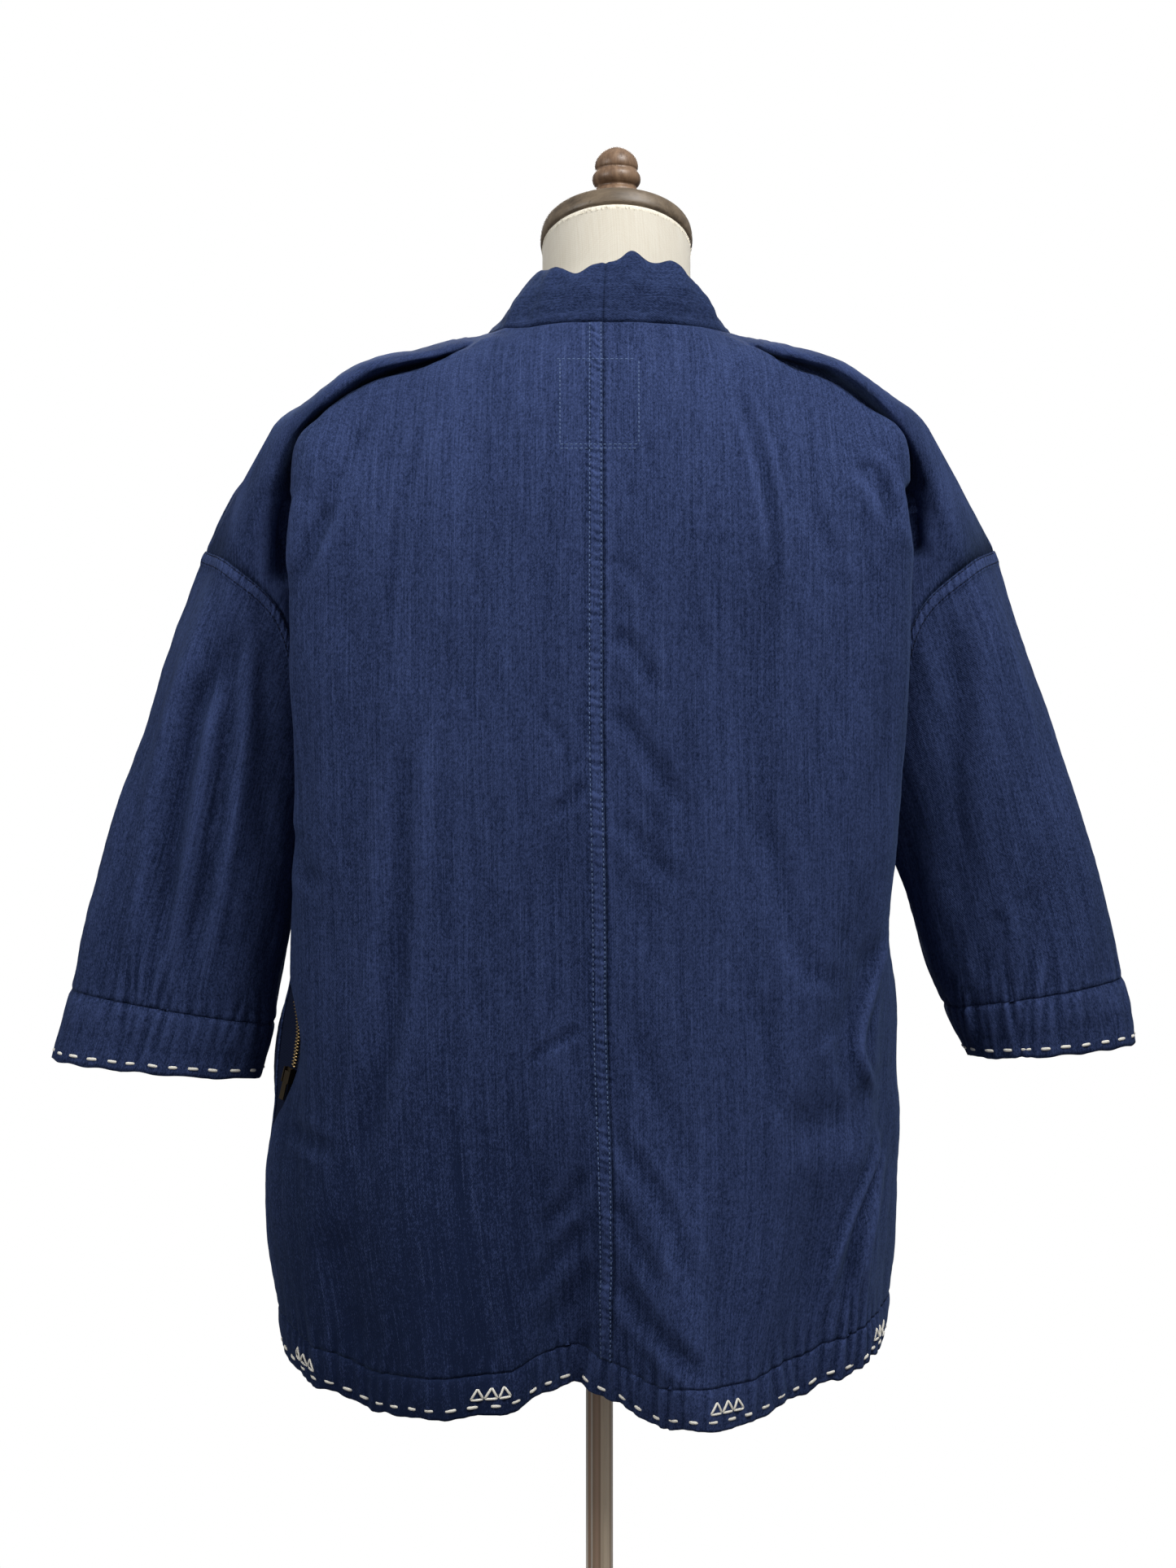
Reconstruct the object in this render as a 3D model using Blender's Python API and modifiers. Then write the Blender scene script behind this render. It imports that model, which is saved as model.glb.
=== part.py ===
"""Kimono jacket worn by a limbless dress form: cloth walls with the garment's true shape, in metres, z up.

The wearer's left is +X, the front faces -Y and the floor is z = 0.
Every cloth piece is a grid of points on a surface that runs through named guide lines, so that
pieces that are sewn together share the points of their seam and stand a thread's width apart.
"""
import math

import bpy
import numpy as np
from mathutils import Vector
from mathutils.bvhtree import BVHTree

THREAD = 0.00015
CLOTH = 0.0015
BAND = 0.0020
COLLAR = 0.0022
HEM_SEAM = 0.27
UNDERARM = 4
TIP = 8

# Guide lines of the back, wearer's left, one row per section from the hem to the neckline.
# Each cell is x, y, z: centre back, mid back, outer back, lip of the fold, crease, roll, crown, outer edge.
BACK = {
    "hem": ((0, .122, .648), (.07, .133, .648), (.14, .127, .648), (.193, .098, .648),
            (.215, .068, .648), (.2255, .047, .648), (.2281, .0366, .648), (.23, .026, .648)),
    "low": ((0, .127, .75), (.07, .133, .75), (.143, .129, .75), (.199, .1, .75),
            (.223, .07, .75), (.236, .049, .75), (.2391, .039, .75), (.2415, .029, .75)),
    "pocket": ((0, .128, .86), (.07, .132, .86), (.145, .129, .86), (.198, .1, .86),
               (.214, .072, .86), (.224, .054, .86), (.2267, .0465, .86), (.229, .039, .86)),
    "waist": ((0, .129, .945), (.07, .132, .945), (.145, .129, .95), (.203, .098, .958),
              (.2165, .068, .96), (.2195, .05, .96), (.2199, .0419, .96), (.22, .034, .96)),
    "underarm": ((0, .13, 1.), (.07, .132, 1.), (.146, .13, 1.01), (.209, .098, 1.04),
                 (.213, .06, 1.045), (.211, .036, 1.045), (.2096, .024, 1.045), (.208, .012, 1.045)),
    "blade": ((0, .13, 1.07), (.07, .133, 1.07), (.146, .131, 1.08), (.2125, .102, 1.13),
              (.208, .06, 1.13), (.2072, .047, 1.13), (.21, .0435, 1.1291), (.2135, .0405, 1.128)),
    "fold": ((0, .13, 1.13), (.07, .133, 1.13), (.144, .131, 1.14), (.2135, .104, 1.205),
             (.2105, .042, 1.203), (.218, .047, 1.2), (.2229, .0504, 1.1972), (.228, .054, 1.194)),
    "cap": ((0, .129, 1.185), (.068, .132, 1.187), (.14, .13, 1.195), (.2125, .103, 1.265),
            (.214, .038, 1.262), (.236, .058, 1.262), (.25, .0546, 1.2469), (.264, .046, 1.227)),
    "tip": ((0, .126, 1.23), (.065, .129, 1.233), (.133, .127, 1.243), (.2085, .096, 1.31),
            (.2155, .052, 1.302), (.219, .08, 1.3085), (.232, .05, 1.3247), (.2925, -.012, 1.243)),
    "outer": ((0, .122, 1.262), (.06, .125, 1.265), (.123, .121, 1.275), (.189, .088, 1.3288),
              (.1931, .066, 1.332), (.1945, .09, 1.3348), (.2019, .064, 1.3461), (.264, -.0155, 1.298)),
    "slope": ((0, .115, 1.297), (.053, .117, 1.299), (.106, .111, 1.307), (.1586, .084, 1.3485),
              (.1616, .064, 1.354), (.1625, .088, 1.3575), (.168, .066, 1.3672), (.215, -.016, 1.3505)),
    "near": ((0, .101, 1.343), (.04, .101, 1.345), (.079, .094, 1.352), (.1121, .077, 1.3665),
             (.1138, .06, 1.371), (.1146, .078, 1.3712), (.1172, .055, 1.383), (.15, -.016, 1.3885)),
    "neckline": ((0, .078, 1.394), (.027, .076, 1.394), (.05, .066, 1.394), (.066, .05, 1.395),
                 (.076, .03, 1.397), (.082, .008, 1.4005), (.0835, -.003, 1.4008), (.084, -.014, 1.4)),
}
BODY_ROWS = (2, 4, 5, 3)
BACK_ROWS = (3, 3, 3, 3)
SHOULDER_PLACES = (8, 8.15, 8.55, 9, 9.33, 9.67, 10, 10.33, 10.67, 11, 11.5, 12)
BACK_COLUMNS = (2, 2, 4, 3, 2, 2, 2)

# Guide lines of the front: front edge, inner, middle, outer, and the armhole (none where the side seam rules).
FRONT = {
    "hem": ((.075, -.128, .648), (.125, -.128, .648), (.176, -.107, .648), (.218, -.055, .648), None),
    "low": ((.075, -.128, .750), (.125, -.129, .750), (.182, -.108, .750), (.2300, -.052, .750), None),
    "pocket": ((.075, -.127, .860), (.125, -.129, .860), (.180, -.107, .860), (.2255, -.050, .860), None),
    "waist": ((.076, -.127, .960), (.125, -.129, .960), (.174, -.108, .960), (.2120, -.052, .960), None),
    "underarm": ((.077, -.128, 1.045), (.124, -.130, 1.045), (.170, -.111, 1.045), (.2010, -.060, 1.045), None),
    "breast": ((.079, -.128, 1.130), (.122, -.130, 1.130), (.166, -.115, 1.130), (.1960, -.078, 1.130),
               (.2120, -.030, 1.125)),
    "chest": ((.082, -.122, 1.215), (.120, -.125, 1.213), (.163, -.115, 1.210), (.2020, -.086, 1.207),
              (.2330, -.056, 1.192)),
    "yoke": ((.086, -.096, 1.310), (.124, -.098, 1.303), (.168, -.093, 1.288), (.2170, -.075, 1.262),
             (.2670, -.050, 1.226)),
    "ridge": ((.087, -.055, 1.374), (.135, -.058, 1.364), (.185, -.057, 1.341), (.2360, -.048, 1.297),
              (.2850, -.032, 1.241)),
}
FRONT_ROWS = (3, 3, 2, 2, 2)

# Free edge of the collar, from the centre back round the neck and down the front to the hem.
COLLAR_BACK = ((0, .0665, 1.4390), (.0225, .0645, 1.4385), (.0350, .0530, 1.4390), (.0420, .0370, 1.4410),
               (.0450, .0190, 1.4440), (.0455, .0010, 1.4450), (.0455, -.0080, 1.4440),
               (.0450, -.0170, 1.4420))
COLLAR_FRONT = {
    "hem": (.0215, -.136, .648), "low": (.0215, -.136, .750), "pocket": (.0215, -.136, .860),
    "waist": (.0220, -.136, .960), "underarm": (.0225, -.137, 1.045), "breast": (.0240, -.137, 1.130),
    "chest": (.0270, -.134, 1.215), "yoke": (.0365, -.111, 1.318), "ridge": (.0455, -.062, 1.407),
}

# Sleeve sections, one row per height: fraction down the sleeve, outer x, z, inner x, z, half depth, centre y.
SLEEVES = {
    "left": ((0.00, .2925, 1.243, .2080, 1.045, .050, 0), (0.14, .3085, 1.200, .2150, 1.020, .052, 0),
             (0.32, .3260, 1.142, .2235, .990, .052, .001), (0.52, .3450, 1.078, .2290, .957, .049, .001),
             (0.72, .3640, 1.018, .2340, .928, .045, 0), (0.88, .3795, .966, .2370, .906, .042, 0),
             (1.00, .3890, .9200, .2390, .8940, .0405, 0), (1.50, .3960, .8935, .2440, .8740, .0405, 0),
             (2.00, .4025, .8690, .2495, .8545, .0410, 0)),
    "right": ((0.00, .2925, 1.243, .2080, 1.045, .050, 0), (0.14, .3070, 1.200, .2170, 1.020, .053, 0),
              (0.32, .3250, 1.142, .2280, .990, .055, .001), (0.52, .3440, 1.078, .2345, .962, .055, .001),
              (0.72, .3620, 1.018, .2405, .940, .053, 0), (0.88, .3760, .966, .2470, .922, .051, 0),
              (1.00, .3840, .9290, .2540, .9070, .050, 0), (1.50, .3910, .9030, .2620, .8885, .050, 0),
              (2.00, .3930, .8815, .2705, .8705, .050, 0)),
}
SLEEVE_ROWS = 10
CUFF_ROWS = 2

# Rise of the hem: x, and how far the hem stands above level there, behind and in front.
HEM_BACK = ((-.225, .034), (-.190, .0215), (-.162, .0115), (-.136, .0015), (-.096, -.008), (-.058, -.008),
            (-.038, -.010), (-.007, .001), (.018, .0085), (.038, .006), (.064, -.003), (.104, -.005),
            (.153, -.006), (.196, .003), (.232, .016))
HEM_FRONT = ((-.225, .030), (-.170, .012), (-.110, .003), (-.060, 0), (.060, 0), (.130, .002), (.185, .007),
             (.232, .015))

# How far the centre back seam hangs off the middle: height, shift in x.
CENTRE_DRIFT = ((.60, -.0084), (.76, -.0084), (.94, -.0043), (1.13, -.0018), (1.40, -.0020), (1.44, -.0040))

# Waves of the collar's free edge: x of the wave, rise, width.
COLLAR_WAVES = ((.0170, -.0070, .0085), (-.0225, .0085, .0075), (-.0520, .0040, .0090), (.0330, .0015, .0060),
                (-.0700, -.0085, .0110))

# Hanging folds of the body: side of the garment, x at the top, z there, x at the hem, push out, width.
HANGING = (
    ("back", .120, .900, .100, .012, .034), ("back", .030, .860, .020, -.022, .022),
    ("back", -.030, .900, -.062, .028, .034), ("back", -.150, .980, -.140, -.010, .022),
    ("back", .175, .800, .168, -.006, .018), ("back", -.185, .900, -.178, .006, .018),
    ("front", .110, .980, .112, .008, .022), ("front", .150, .900, .158, -.009, .018),
    ("front", -.105, .960, -.104, .007, .022), ("front", -.145, .880, -.150, -.010, .018),
    ("front", .185, .860, .196, .006, .018), ("front", -.182, .820, -.188, .005, .018),
)

COLOURS = {
    "indigo_cloth": ((.025, .032, .085, 1), .95, 0), "indigo_band": ((.022, .028, .075, 1), .95, 0),
    "linen": ((.78, .71, .58, 1), .9, 0), "cap_wood": ((.27, .15, .08, 1), .45, 0),
    "finial_wood": ((.36, .20, .10, 1), .4, 0), "pole_metal": ((.20, .15, .11, 1), .4, 1),
    "base_metal": ((.16, .12, .09, 1), .45, 1), "tape_cloth": ((.02, .022, .05, 1), .9, 0),
    "brass": ((.72, .50, .20, 1), .35, 1),
}


def ease(value):
    """Eases a value from 0 to 1 and holds it outside that range."""
    value = np.clip(value, 0, 1)
    return value * value * (3 - 2 * value)


def along_table(table, value):
    """Reads a table of (place, amount) at the values, with eased steps between its places."""
    places, amounts = np.array(table, float).T
    spot = np.interp(value, places, np.arange(len(places)))
    low = np.clip(np.floor(spot).astype(int), 0, len(places) - 2)
    return amounts[low] + (amounts[low + 1] - amounts[low]) * ease(spot - low)


def thread(points, where):
    """Points at the places `where` (in rows) of the smooth line through `points`, along axis 0."""
    points = np.asarray(points, float)
    points = np.concatenate((2 * points[:1] - points[1:2], points, 2 * points[-1:] - points[-2:-1]))
    found = []
    for place in where:
        row = min(int(place + 1e-9), len(points) - 4)
        t = place - row
        p0, p1, p2, p3 = points[row:row + 4]
        d0, d1, d2 = (np.sqrt(np.maximum(np.linalg.norm(b - a, axis=-1, keepdims=True), 1e-7))
                      for a, b in ((p0, p1), (p1, p2), (p2, p3)))
        m1 = d1 * ((p1 - p0) / d0 - (p2 - p0) / (d0 + d1) + (p2 - p1) / d1)
        m2 = d1 * ((p2 - p1) / d1 - (p3 - p1) / (d1 + d2) + (p3 - p2) / d2)
        found.append((2 * t**3 - 3 * t**2 + 1) * p1 + (t**3 - 2 * t**2 + t) * m1
                     + (3 * t**2 - 2 * t**3) * p2 + (t**3 - t**2) * m2)
    return np.array(found)


def broken(points, where, corners):
    """The same line with corners at the rows in `corners`."""
    points = np.asarray(points, float)
    ends = [0, *corners, len(points) - 1]
    found = []
    for place in where:
        for first, last in zip(ends, ends[1:]):
            if place <= last + 1e-9:
                found.append(thread(points[first:last + 1], [place - first])[0])
                break
    return np.array(found)


def steps(counts, start=0.0):
    """Row places with counts[i] steps between guides i and i + 1, from `start` in the first gap."""
    places = [start]
    for number, count in enumerate(counts):
        low = start if number == 0 else float(number)
        places += [low + (number + 1 - low) * k / count for k in range(1, count + 1)]
    return places


def back_places():
    """Row places of the back from the hem band's seam to the neckline."""
    return steps((*BODY_ROWS, *BACK_ROWS), HEM_SEAM)[:-1] + list(SHOULDER_PLACES)


def front_places():
    """Row places of the front from the hem band's seam to the shoulder seam."""
    return steps((*BODY_ROWS, *FRONT_ROWS), HEM_SEAM)


def front_columns_places():
    """Column places of the front, which meet the back's rows along the shoulder."""
    return [SHOULDER_PLACES[-1] - place for place in SHOULDER_PLACES[::-1]]


def warp(points):
    """Moves base points to the hang in the picture: narrower right side, neck off centre, and hanging folds."""
    points = np.array(points, float)
    x, y, z = points[..., 0], points[..., 1], points[..., 2]
    right = ease(-x / .06)
    low = ease((1.16 - z) / .30)
    narrow = .080 * low + .026 * ease((.84 - z) / .09)
    points[..., 0] = x * (1 - narrow * right * ease((.28 + x) / .04))
    shoulder = np.exp(-((x + .200) / .060) ** 2) * ease((z - 1.27) / .05) * ease((y + .05) / .04)
    points[..., 2] += .0018 * right * shoulder
    near = ease((z - 1.33) / .05) * ease((.20 + x) / .09)
    points[..., 0] -= (.0145 + .0100 * ease((z - 1.402) / .033)) * ease(-x / .042) * near
    drift = along_table(CENTRE_DRIFT, z) * np.exp(-(points[..., 0] / .10) ** 2)
    points[..., 0] += drift * ease((y - .02) / .04)
    x = points[..., 0].copy()
    out = np.stack((x / .0576, y / .0169, 0 * x), -1)
    out /= np.maximum(np.linalg.norm(out, axis=-1, keepdims=True), 1e-6)
    for face, top_x, top_z, hem_x, push, width in HANGING:
        sign = 1 if face == "back" else -1
        down = np.clip((top_z - z) / (top_z - .648), 0, 1)
        line = top_x + (hem_x - top_x) * down
        amount = push * ease(down) * np.exp(-((x - line) / width) ** 2) * ease((sign * y - .02) / .05)
        points += amount[..., None] * out
    behind = ease((y + .03) / .06)
    rise = along_table(HEM_BACK, x) * behind + along_table(HEM_FRONT, x) * (1 - behind)
    points[..., 2] += rise * ease((.92 - z) / .22)
    return points


def mirrored(points, side):
    """Points for the wearer's left as they are, for the right with x turned round."""
    points = np.array(points, float)
    if side == "right":
        points[..., 0] *= -1
    return points


def back_surface(side, rows, columns):
    """Points of one half of the back at the given guide rows and columns, before any slit."""
    table = np.array([row for row in BACK.values()], float)
    other = table[:, :0:-1].copy()
    other[..., 0] *= -1
    whole = np.concatenate((other, table), 1)
    lines = thread(whole, rows)
    edge = broken(table[:, -1], rows, (UNDERARM, TIP))
    lines[:, -1] = edge
    lines[:, 0] = edge * (-1, 1, 1)
    points = thread(np.swapaxes(lines, 0, 1), [c + table.shape[1] - 1 for c in columns])
    return warp(mirrored(np.swapaxes(points, 0, 1), side))


def outer_edge(side, rows):
    """The line that starts as the side seam, goes up the back of the armhole and in along the shoulder."""
    table = np.array([row[-1] for row in BACK.values()], float)
    return warp(mirrored(broken(table, rows, (UNDERARM, TIP)), side))


def front_surface(side, rows, columns):
    """Points of one front at the given rows and columns. Column 0 is the front edge, the last the side."""
    back_edge = np.array([row[-1] for row in BACK.values()], float)
    table = []
    for number, row in enumerate(FRONT.values()):
        cells = list(row)
        if cells[-1] is None:
            cells[-1] = tuple(back_edge[number])
        table.append(cells)
    shoulder = back_edge[TIP:][::-1]
    table.append([tuple(point) for point in shoulder])
    table = np.array(table, float)
    lines = thread(table, rows)
    lines[:, -1] = broken(table[:, -1], rows, (UNDERARM,))
    points = np.swapaxes(thread(np.swapaxes(lines, 0, 1), columns), 0, 1)
    last = len(table) - 1
    top = broken(back_edge, [len(back_edge) - 1 - c for c in columns], (UNDERARM, TIP))
    base = thread(table, [last])[0]
    drift = top - thread(base, columns)
    for number, row in enumerate(rows):
        points[number] += drift * ease((row - last + 1.5) / 1.5)
    return warp(mirrored(points, side))


def slit(z):
    """How far the pocket mouth stands open at a height, from 0 to 1."""
    return ease((.942 - z) / .055) * ease((z - .815) / .062)


def grid_normals(grid, ring=False):
    """Unit normals of a grid of points, from the lines through its neighbours."""
    down = np.gradient(grid, axis=0)
    if ring:
        across = (np.roll(grid, -1, 1) - np.roll(grid, 1, 1)) / 2
    else:
        across = np.gradient(grid, axis=1)
    found = np.cross(across, down)
    return found / np.maximum(np.linalg.norm(found, axis=-1, keepdims=True), 1e-12)


class Piece:
    """One cloth piece: a grid of points on its outer face, with the wall's depth and its seams."""

    def __init__(self, name, grid, depth, seams, ring=False, slot="indigo_cloth", outward=None):
        self.name = name
        self.grid = np.array(grid)
        self.depth = depth
        self.seams = seams
        self.ring = ring
        self.slot = slot
        self.normals = grid_normals(self.grid, ring)
        middle = (self.grid * self.normals).sum(-1)
        if outward is None:
            centre = self.grid.reshape(-1, 3).mean(0)
            outward = ((self.grid - centre) * self.normals).sum() > 0 if ring else middle.sum() > 0
        if not outward:
            self.normals = -self.normals
        self.flipped = not outward

    def border(self):
        """Index pairs of the vertices on the border."""
        rows, columns = self.grid.shape[:2]
        found = [(0, c) for c in range(columns)] + [(rows - 1, c) for c in range(columns)]
        if not self.ring:
            found += [(r, 0) for r in range(1, rows - 1)] + [(r, columns - 1) for r in range(1, rows - 1)]
        return found

    def pull_in(self):
        """Draws the sewn edges back by a thread's width."""
        moved = self.grid.copy()
        edges = {"start": ((0, slice(None)), (1, slice(None))), "end": ((-1, slice(None)), (-2, slice(None))),
                 "first": ((slice(None), 0), (slice(None), 1)), "last": ((slice(None), -1), (slice(None), -2))}
        for seam in self.seams:
            edge, inner = edges[seam]
            way = self.grid[inner] - self.grid[edge]
            way /= np.maximum(np.linalg.norm(way, axis=-1, keepdims=True), 1e-9)
            moved[edge] += way * THREAD
        self.grid = moved


def share_normals(pieces):
    """Gives vertices that meet at a seam one normal, so that the walls stand side by side."""
    spots = [(piece, spot) for piece in pieces for spot in piece.border()]
    places = np.array([piece.grid[spot] for piece, spot in spots])
    normals = np.array([piece.normals[spot] for piece, spot in spots])
    for number, (piece, spot) in enumerate(spots):
        near = np.linalg.norm(places - places[number], axis=1) < 2e-5
        near &= normals @ normals[number] > .35
        mean = normals[near].sum(0)
        piece.normals[spot] = mean / np.linalg.norm(mean)


def finish(name, verts, faces, slot, smooth=True):
    """Makes a named object with its material in a collection of its own."""
    mesh = bpy.data.meshes.new(name)
    mesh.from_pydata([tuple(v) for v in verts], [], faces)
    mesh.validate()
    item = bpy.data.objects.new(name, mesh)
    place(item, name, slot)
    if smooth:
        mesh.shade_smooth()
    return item


def place(item, name, slot):
    """Puts an object in a collection of its name and gives it its material."""
    home = bpy.data.collections.new(name)
    bpy.context.scene.collection.children.link(home)
    for old in list(item.users_collection):
        old.objects.unlink(item)
    home.objects.link(item)
    colour, rough, metal = COLOURS[slot]
    material = bpy.data.materials.get(slot) or bpy.data.materials.new(slot)
    material.use_nodes = True
    shader = material.node_tree.nodes["Principled BSDF"]
    shader.inputs["Base Color"].default_value = colour
    shader.inputs["Roughness"].default_value = rough
    shader.inputs["Metallic"].default_value = metal
    item.data.materials.append(material)


def halves(points, quad):
    """The two triangles of a quad, cut along its shorter diagonal."""
    a, b, c, d = quad
    if np.linalg.norm(points[a] - points[c]) <= np.linalg.norm(points[b] - points[d]):
        return [(a, b, c), (a, c, d)]
    return [(a, b, d), (b, c, d)]


def wall(piece):
    """Builds the closed wall of a piece from its outer face and the same points moved in."""
    rows, columns = piece.grid.shape[:2]
    outer = piece.grid.reshape(-1, 3)
    inner = (piece.grid - piece.normals * piece.depth).reshape(-1, 3)
    count = len(outer)
    faces = []
    wide = columns if piece.ring else columns - 1
    for r in range(rows - 1):
        for c in range(wide):
            a = r * columns + c
            b = r * columns + (c + 1) % columns
            for part in halves(outer, (a, b, b + columns, a + columns)):
                faces.append(part if not piece.flipped else part[::-1])
                back = tuple(count + k for k in part)
                faces.append(back[::-1] if not piece.flipped else back)
    rim = [(c, (c + 1) % columns) for c in range(wide)]
    rim += [((rows - 1) * columns + (c + 1) % columns, (rows - 1) * columns + c) for c in range(wide)]
    if not piece.ring:
        rim += [((r + 1) * columns, r * columns) for r in range(rows - 1)]
        rim += [(r * columns + columns - 1, (r + 1) * columns + columns - 1) for r in range(rows - 1)]
    for a, b in rim:
        quad = (b, a, a + count, b + count)
        faces.append(quad if not piece.flipped else quad[::-1])
    return finish(piece.name, np.concatenate((outer, inner)), faces, piece.slot)


def open_mouth(grid, seam_line, edge, shift):
    """Moves the side edge of a panel off the seam where the pocket mouth stands open."""
    grid = grid.copy()
    columns = grid.shape[1]
    for c in range(columns):
        reach = np.linalg.norm(grid[:, c] - grid[:, edge], axis=-1)
        fade = ease(1 - reach / .055)
        grid[:, c] += (slit(grid[:, c, 2]) * fade)[:, None] * np.array(shift)
    return grid


def sleeve_point(side, angle, along):
    """A point of the plain sleeve tube: angle 0 is its outer line, 90 degrees its back."""
    table = np.array(SLEEVES[side])
    spots = np.array([[row[1], 0, row[2]] for row in table])
    insides = np.array([[row[3], row[6], row[4]] for row in table])
    depths = np.array([[row[5], row[6], 0] for row in table])
    row = np.interp(along, table[:, 0], range(len(table)))
    outer, inner, depth = (thread(part, [row])[0] for part in (spots, insides, depths))
    middle = (outer + inner) / 2
    across = (outer - inner) / 2
    if side == "right":
        middle, across = middle * (-1, 1, 1), across * (-1, 1, 1)
    round_x = math.copysign(abs(math.cos(angle)) ** .92, math.cos(angle))
    round_y = math.copysign(abs(math.sin(angle)) ** .85, math.sin(angle))
    return middle + across * round_x + np.array((0, depth[0] * round_y + depth[1], 0))


def armhole(side):
    """The loop of the armhole seam from the tip down the back to the underarm and up the front."""
    back_rows = [p for p in back_places() if UNDERARM - 1e-9 <= p <= TIP + 1e-9]
    front_rows = [p for p in front_places() if p >= UNDERARM - 1e-9]
    behind = outer_edge(side, back_rows)[::-1]
    before = front_surface(side, front_rows, front_columns_places())[:, -1]
    return behind, before


def sleeve_grids(side):
    """Grids of the sleeve and of the cuff, with the armhole's own points as the first row."""
    behind, before = armhole(side)
    loop = np.concatenate((behind, before[1:-1]))
    angles = []
    for part, first in ((behind, 0.0), (before, math.pi)):
        length = np.concatenate(([0], np.cumsum(np.linalg.norm(np.diff(part, axis=0), axis=1))))
        angles.append(first + math.pi * length / length[-1])
    angles = np.concatenate((angles[0], angles[1][1:-1]))
    start = np.array([sleeve_point(side, a, 0) for a in angles])
    rows = []
    for k in range(SLEEVE_ROWS + 1):
        along = k / SLEEVE_ROWS
        ring = np.array([sleeve_point(side, a, along) for a in angles])
        rows.append(ring + (loop - start) * (1 - ease(along / .62)))
    cuff = [rows[-1]]
    for k in range(1, CUFF_ROWS + 1):
        cuff.append(np.array([sleeve_point(side, a, 1 + k / CUFF_ROWS) for a in angles]))
    return np.array(rows), np.array(cuff)


def collar_grid(side, seam):
    """The collar band from its seam line to the free edge, with a slight roll."""
    back_columns = steps(BACK_COLUMNS)
    free_back = thread(COLLAR_BACK, back_columns)
    rows = [0.0, HEM_SEAM / 2] + front_places()
    table = np.array([*COLLAR_FRONT.values(), COLLAR_BACK[-1]])
    free_front = thread(table, rows)[::-1]
    free = warp(mirrored(np.concatenate((free_back, free_front[1:])), side))
    for x, rise, width in COLLAR_WAVES:
        free[:, 2] += rise * np.exp(-((free[:, 0] - x) / width) ** 2) * ease((free[:, 1] + .030) / .035)
    across = np.linspace(0, 1, 4)
    grid = np.array([seam + (free - seam) * w for w in across])
    normals = grid_normals(grid)
    if (normals * grid)[..., :2].sum() < 0:
        normals = -normals
    swell = .0035 * ease((seam[:, 1] - .010) / .045) + .0025 * ease((-.035 - seam[:, 1]) / .04) - .0004
    for number, w in enumerate(across):
        grid[number] += normals[number] * (swell * 4 * w * (1 - w))[:, None]
    return grid


def cloth_pieces():
    """All the cloth pieces, with shared points along every seam."""
    back_rows = back_places()
    back_columns = steps(BACK_COLUMNS)
    front_rows = front_places()
    front_columns = front_columns_places()
    band_rows = [0.0, HEM_SEAM / 2, HEM_SEAM]
    pieces = []
    for side in ("left", "right"):
        back = back_surface(side, back_rows, back_columns)
        front = front_surface(side, front_rows, front_columns)
        low_back = back_surface(side, band_rows, back_columns)
        low_front = front_surface(side, band_rows, front_columns)
        band = np.concatenate((low_back, low_front[:, -2::-1]), 1)
        seam = np.concatenate((back[-1], front[::-1, 0][1:], low_front[1::-1, 0]))
        if side == "left":
            back = open_mouth(back, back[:, -1], -1, (-.0125, .009, 0))
            front = open_mouth(front, front[:, -1], -1, (.005, -.009, 0))
        sleeve, cuff = sleeve_grids(side)
        pieces += [
            Piece("back_" + side, back, CLOTH, ("start", "end", "first", "last")),
            Piece("front_" + side, front, CLOTH, ("start", "end", "first", "last")),
            Piece("hem_band_" + side, band, BAND, ("end", "first", "last"), slot="indigo_band"),
            Piece("sleeve_" + side, sleeve, CLOTH, ("start", "end"), ring=True),
            Piece("cuff_" + side, cuff, BAND, ("start",), ring=True, slot="indigo_band"),
            Piece("collar_" + side, collar_grid(side, seam), COLLAR, ("start", "first"), slot="indigo_band"),
        ]
    share_normals(pieces)
    for piece in pieces:
        piece.pull_in()
    return pieces


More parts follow.
